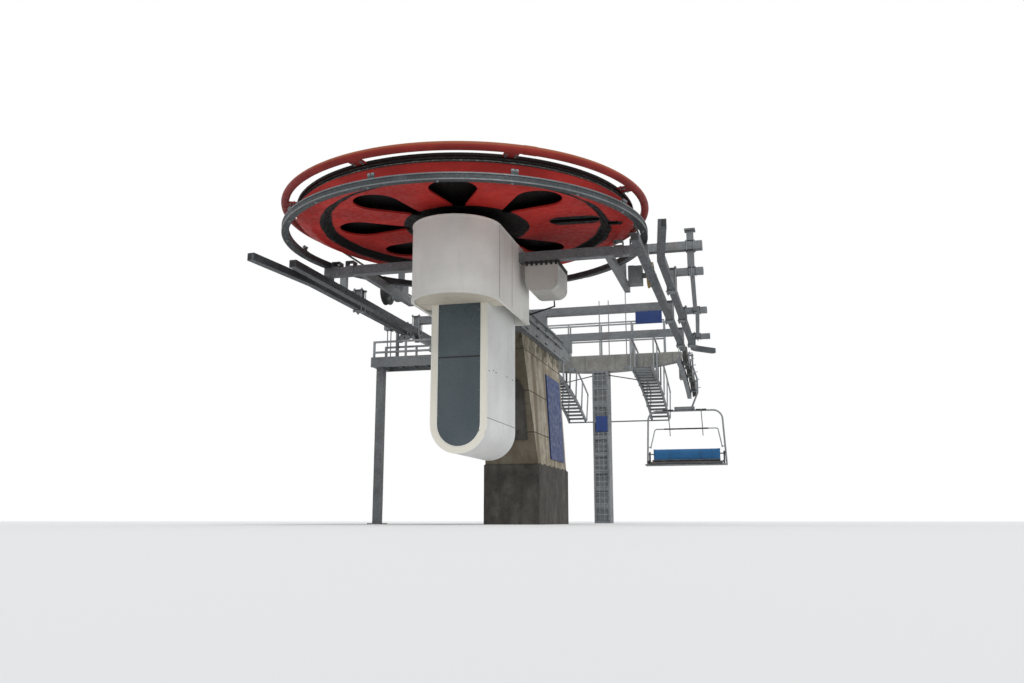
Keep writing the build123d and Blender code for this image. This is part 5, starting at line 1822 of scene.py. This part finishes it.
@dataclass
class ChairDetails:
    """Grip springs, bar sleeves, seat end caps and bolts of the chair."""

    cap_profile: tuple[tuple[float, float], ...] = (
        (-0.34, -3.045), (0.22, -3.045), (0.262, -2.98), (0.262, -2.72), (0.235, -2.69), (0.19, -2.72),
        (0.14, -2.93), (-0.34, -2.985))
    cap_x: float = 1.008
    cap_width: float = 0.042
    springs_y: tuple[float, float] = (-0.11, 0.03)
    footrest: tuple[float, float] = (-0.104, -1.56)
    lap_bar: tuple[float, float] = (0.376, -2.04)
    bolts_x: tuple[float, ...] = (-0.85, -0.45, 0.0, 0.45, 0.85)

    def build(self) -> None:
        """Makes the chair's small pieces."""
        work = bmesh.new()
        for along in self.springs_y:
            start = (ROPE_X + 0.055, CHAIR_Y + along, CHAIR_Z + 0.075)
            add_helix(work, start, (0, 0.085, 0), 0.022, 0.004, 6)
        Piece.placed("grip_springs", work, Finish.ZINC_BRIGHT, "galvanised")
        sleeves = bmesh.new()
        for middle in (-0.46, 0.46):
            for low in (middle - 0.145, middle + 0.01):
                add_tube(sleeves, [at_chair(x, *self.footrest) for x in (low, low + 0.135)], 0.023, 14)
        add_tube(sleeves, [at_chair(x, *self.lap_bar) for x in (-0.62, 0.62)], 0.0215, 14)
        Piece.placed("restraint_sleeves", sleeves, Finish.RUBBER, "galvanised", Body.RESTRAINT)
        caps = bmesh.new()
        for side in (-1, 1):
            outline = [at_chair(side * self.cap_x, y, z) for y, z in self.cap_profile]
            add_prism(caps, outline, (side * self.cap_width, 0, 0))
        bmesh.ops.recalc_face_normals(caps, faces=caps.faces)
        bmesh.ops.bevel(caps, geom=list(caps.edges), offset=0.006, segments=2, profile=0.5, affect="EDGES")
        Piece.placed("seat_end_caps", caps, Finish.BLACK, "dark_paint", Body.CHAIR)
        bolts = FastenerSet("chair_bolts", 0.022, Finish.ZINC_BRIGHT)
        for x in self.bolts_x:
            for y in (-0.21, 0.07):
                bolts.add(at_chair(x, y, -3.062), (0, 0, -1))
            bolts.add(at_chair(x, 0.2351, -2.76), (0, 1, 0))
        bolts.build(Body.CHAIR, "galvanised")


@dataclass(frozen=True)
class Cushion:
    """One padded piece of the seat."""

    node: str
    finish: Finish
    slot: str
    foot_drop: float
    top_drop: float


@dataclass
class Seat:
    """Shaped pan, padded seat and padded backrest of the chair, which lie a little below their solids."""

    pressure: float = 4.0
    voxel: float = 0.012
    swell: float = 0.014
    frames: int = 20
    sink: float = 0.075
    cushions: tuple[Cushion, ...] = (
        Cushion("seat_pad", Finish.CLOTH, "black_fabric", 0.075, 0.075),
        Cushion("backrest", Finish.SEAT_BLUE, "blue_paint", 0.075, 0.0))

    def build(self) -> None:
        """Replaces the plain pan, pad and backrest with shaped pieces."""
        self.build_pan()
        for cushion in self.cushions:
            self.build_cushion(cushion)

    def build_pan(self) -> None:
        """Makes the pan as a tray with a rolled front edge and ribs under it."""
        low, high = (Vector(corner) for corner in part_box("seat_pan"))
        top = high.z - self.sink
        outline = [
            (low.y, low.z + 0.012), (low.y + 0.014, low.z), (high.y - 0.02, low.z), (high.y, low.z + 0.016),
            (high.y, top + 0.03), (high.y - 0.006, top + 0.034), (high.y - 0.012, top), (low.y + 0.03, top),
            (low.y + 0.008, top - 0.012)]
        work = bmesh.new()
        add_prism(work, [(low.x, y, z) for y, z in outline], (high.x - low.x, 0, 0))
        for share in (0.04, 0.28, 0.5, 0.72, 0.96):
            x = low.x + (high.x - low.x) * share
            add_box(
                work, (x - 0.012, low.y + 0.03, low.z - 0.008),
                (x + 0.012, high.y - 0.03, low.z + 0.002), 0.002)
        pan = Piece.placed("seat_tray", work, Finish.DARK, "dark_paint", Body.CHAIR)
        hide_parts("seat_pan")

    def build_cushion(self, cushion: Cushion) -> None:
        """Blows up one cushion from its node's box.

        Args:
            cushion: The cushion and how far its foot and its top are lowered.
        """
        low, high = (Vector(corner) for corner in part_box(cushion.node))
        low.z -= cushion.foot_drop
        high.z -= cushion.top_drop
        inset = Vector((self.swell,) * 3)
        work = bmesh.new()
        add_box(work, tuple(low + inset), tuple(high - inset), bevel=0.012)
        piece = Piece.from_bmesh(cushion.node + "_soft", work)
        self.inflate(piece.item, low, high)
        repaint(piece.item, cushion.finish.material)
        piece.ride(Body.CHAIR, cushion.slot)
        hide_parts(cushion.node)

    def inflate(self, item: bpy.types.Object, low: Vector, high: Vector) -> None:
        """Remeshes a pad, runs its cloth under pressure and keeps it in its box.

        Args:
            item: The pad.
            low: Lower corner of the box.
            high: Upper corner of the box.
        """
        remesh = item.modifiers.new("even", "REMESH")
        remesh.mode = "VOXEL"
        remesh.voxel_size = self.voxel
        self.bake(item)
        start = [vert.co.copy() for vert in item.data.vertices]
        cloth = item.modifiers.new("cloth", "CLOTH")
        cloth.settings.use_pressure = True
        cloth.settings.uniform_pressure_force = self.pressure
        cloth.settings.effector_weights.gravity = 0.0
        scene = bpy.context.scene
        for frame in range(1, self.frames + 1):
            scene.frame_set(frame)
        graph = bpy.context.evaluated_depsgraph_get()
        blown = [vert.co.copy() for vert in item.evaluated_get(graph).data.vertices]
        item.modifiers.remove(cloth)
        scene.frame_set(1)
        for vert, before, after in zip(item.data.vertices, start, blown):
            move = after - before
            if move.length > self.swell:
                move = move.normalized() * self.swell
            place = before + move
            vert.co = Vector(max(l, min(h, p)) for l, h, p in zip(low, high, place))

    @staticmethod
    def bake(item: bpy.types.Object) -> None:
        """Applies an object's modifiers to its mesh and smooths it.

        Args:
            item: The object.
        """
        graph = bpy.context.evaluated_depsgraph_get()
        mesh = bpy.data.meshes.new_from_object(item.evaluated_get(graph), depsgraph=graph)
        item.modifiers.clear()
        item.data = mesh
        for polygon in mesh.polygons:
            polygon.use_smooth = True


def dress_nodes(nodes: dict[str, bpy.types.Object]) -> None:
    """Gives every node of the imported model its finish.

    Args:
        nodes: The model's objects by name.
    """
    materials = {name: finish.material for finish, names in NODE_FINISHES.items() for name in names}
    for name, centre in (*SHEAVE_NODES.items(), *SUPPORT_NODES.items()):
        tyre = TAN_TYRE if name == "support_sheave_right" else SheaveFinish.tyre
        materials[name] = SheaveFinish(name + "_finish", centre, tyre).make()
    for name, material in materials.items():
        repaint(nodes[name], material)
    left = set(nodes) - set(materials)
    if left:
        LOG.warning("nodes without a finish: %s", sorted(left))


def main() -> None:
    """Builds the whole scene."""
    logging.basicConfig(level=logging.INFO, format="%(name)s: %(message)s")
    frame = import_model()
    dress_nodes(frame["nodes"])
    Stage().build()
    for assembly in (
            HaulRope(), Wheelhead(), HoodAndCapsule(), Girder(), FrameHardware(), RingHardware(), Walkways(),
            TowerDressing(), DriveCover(), ChairDetails(), Seat()):
        assembly.build()
        LOG.info("%s is built", type(assembly).__name__)


if __name__ == "__main__":
    main()
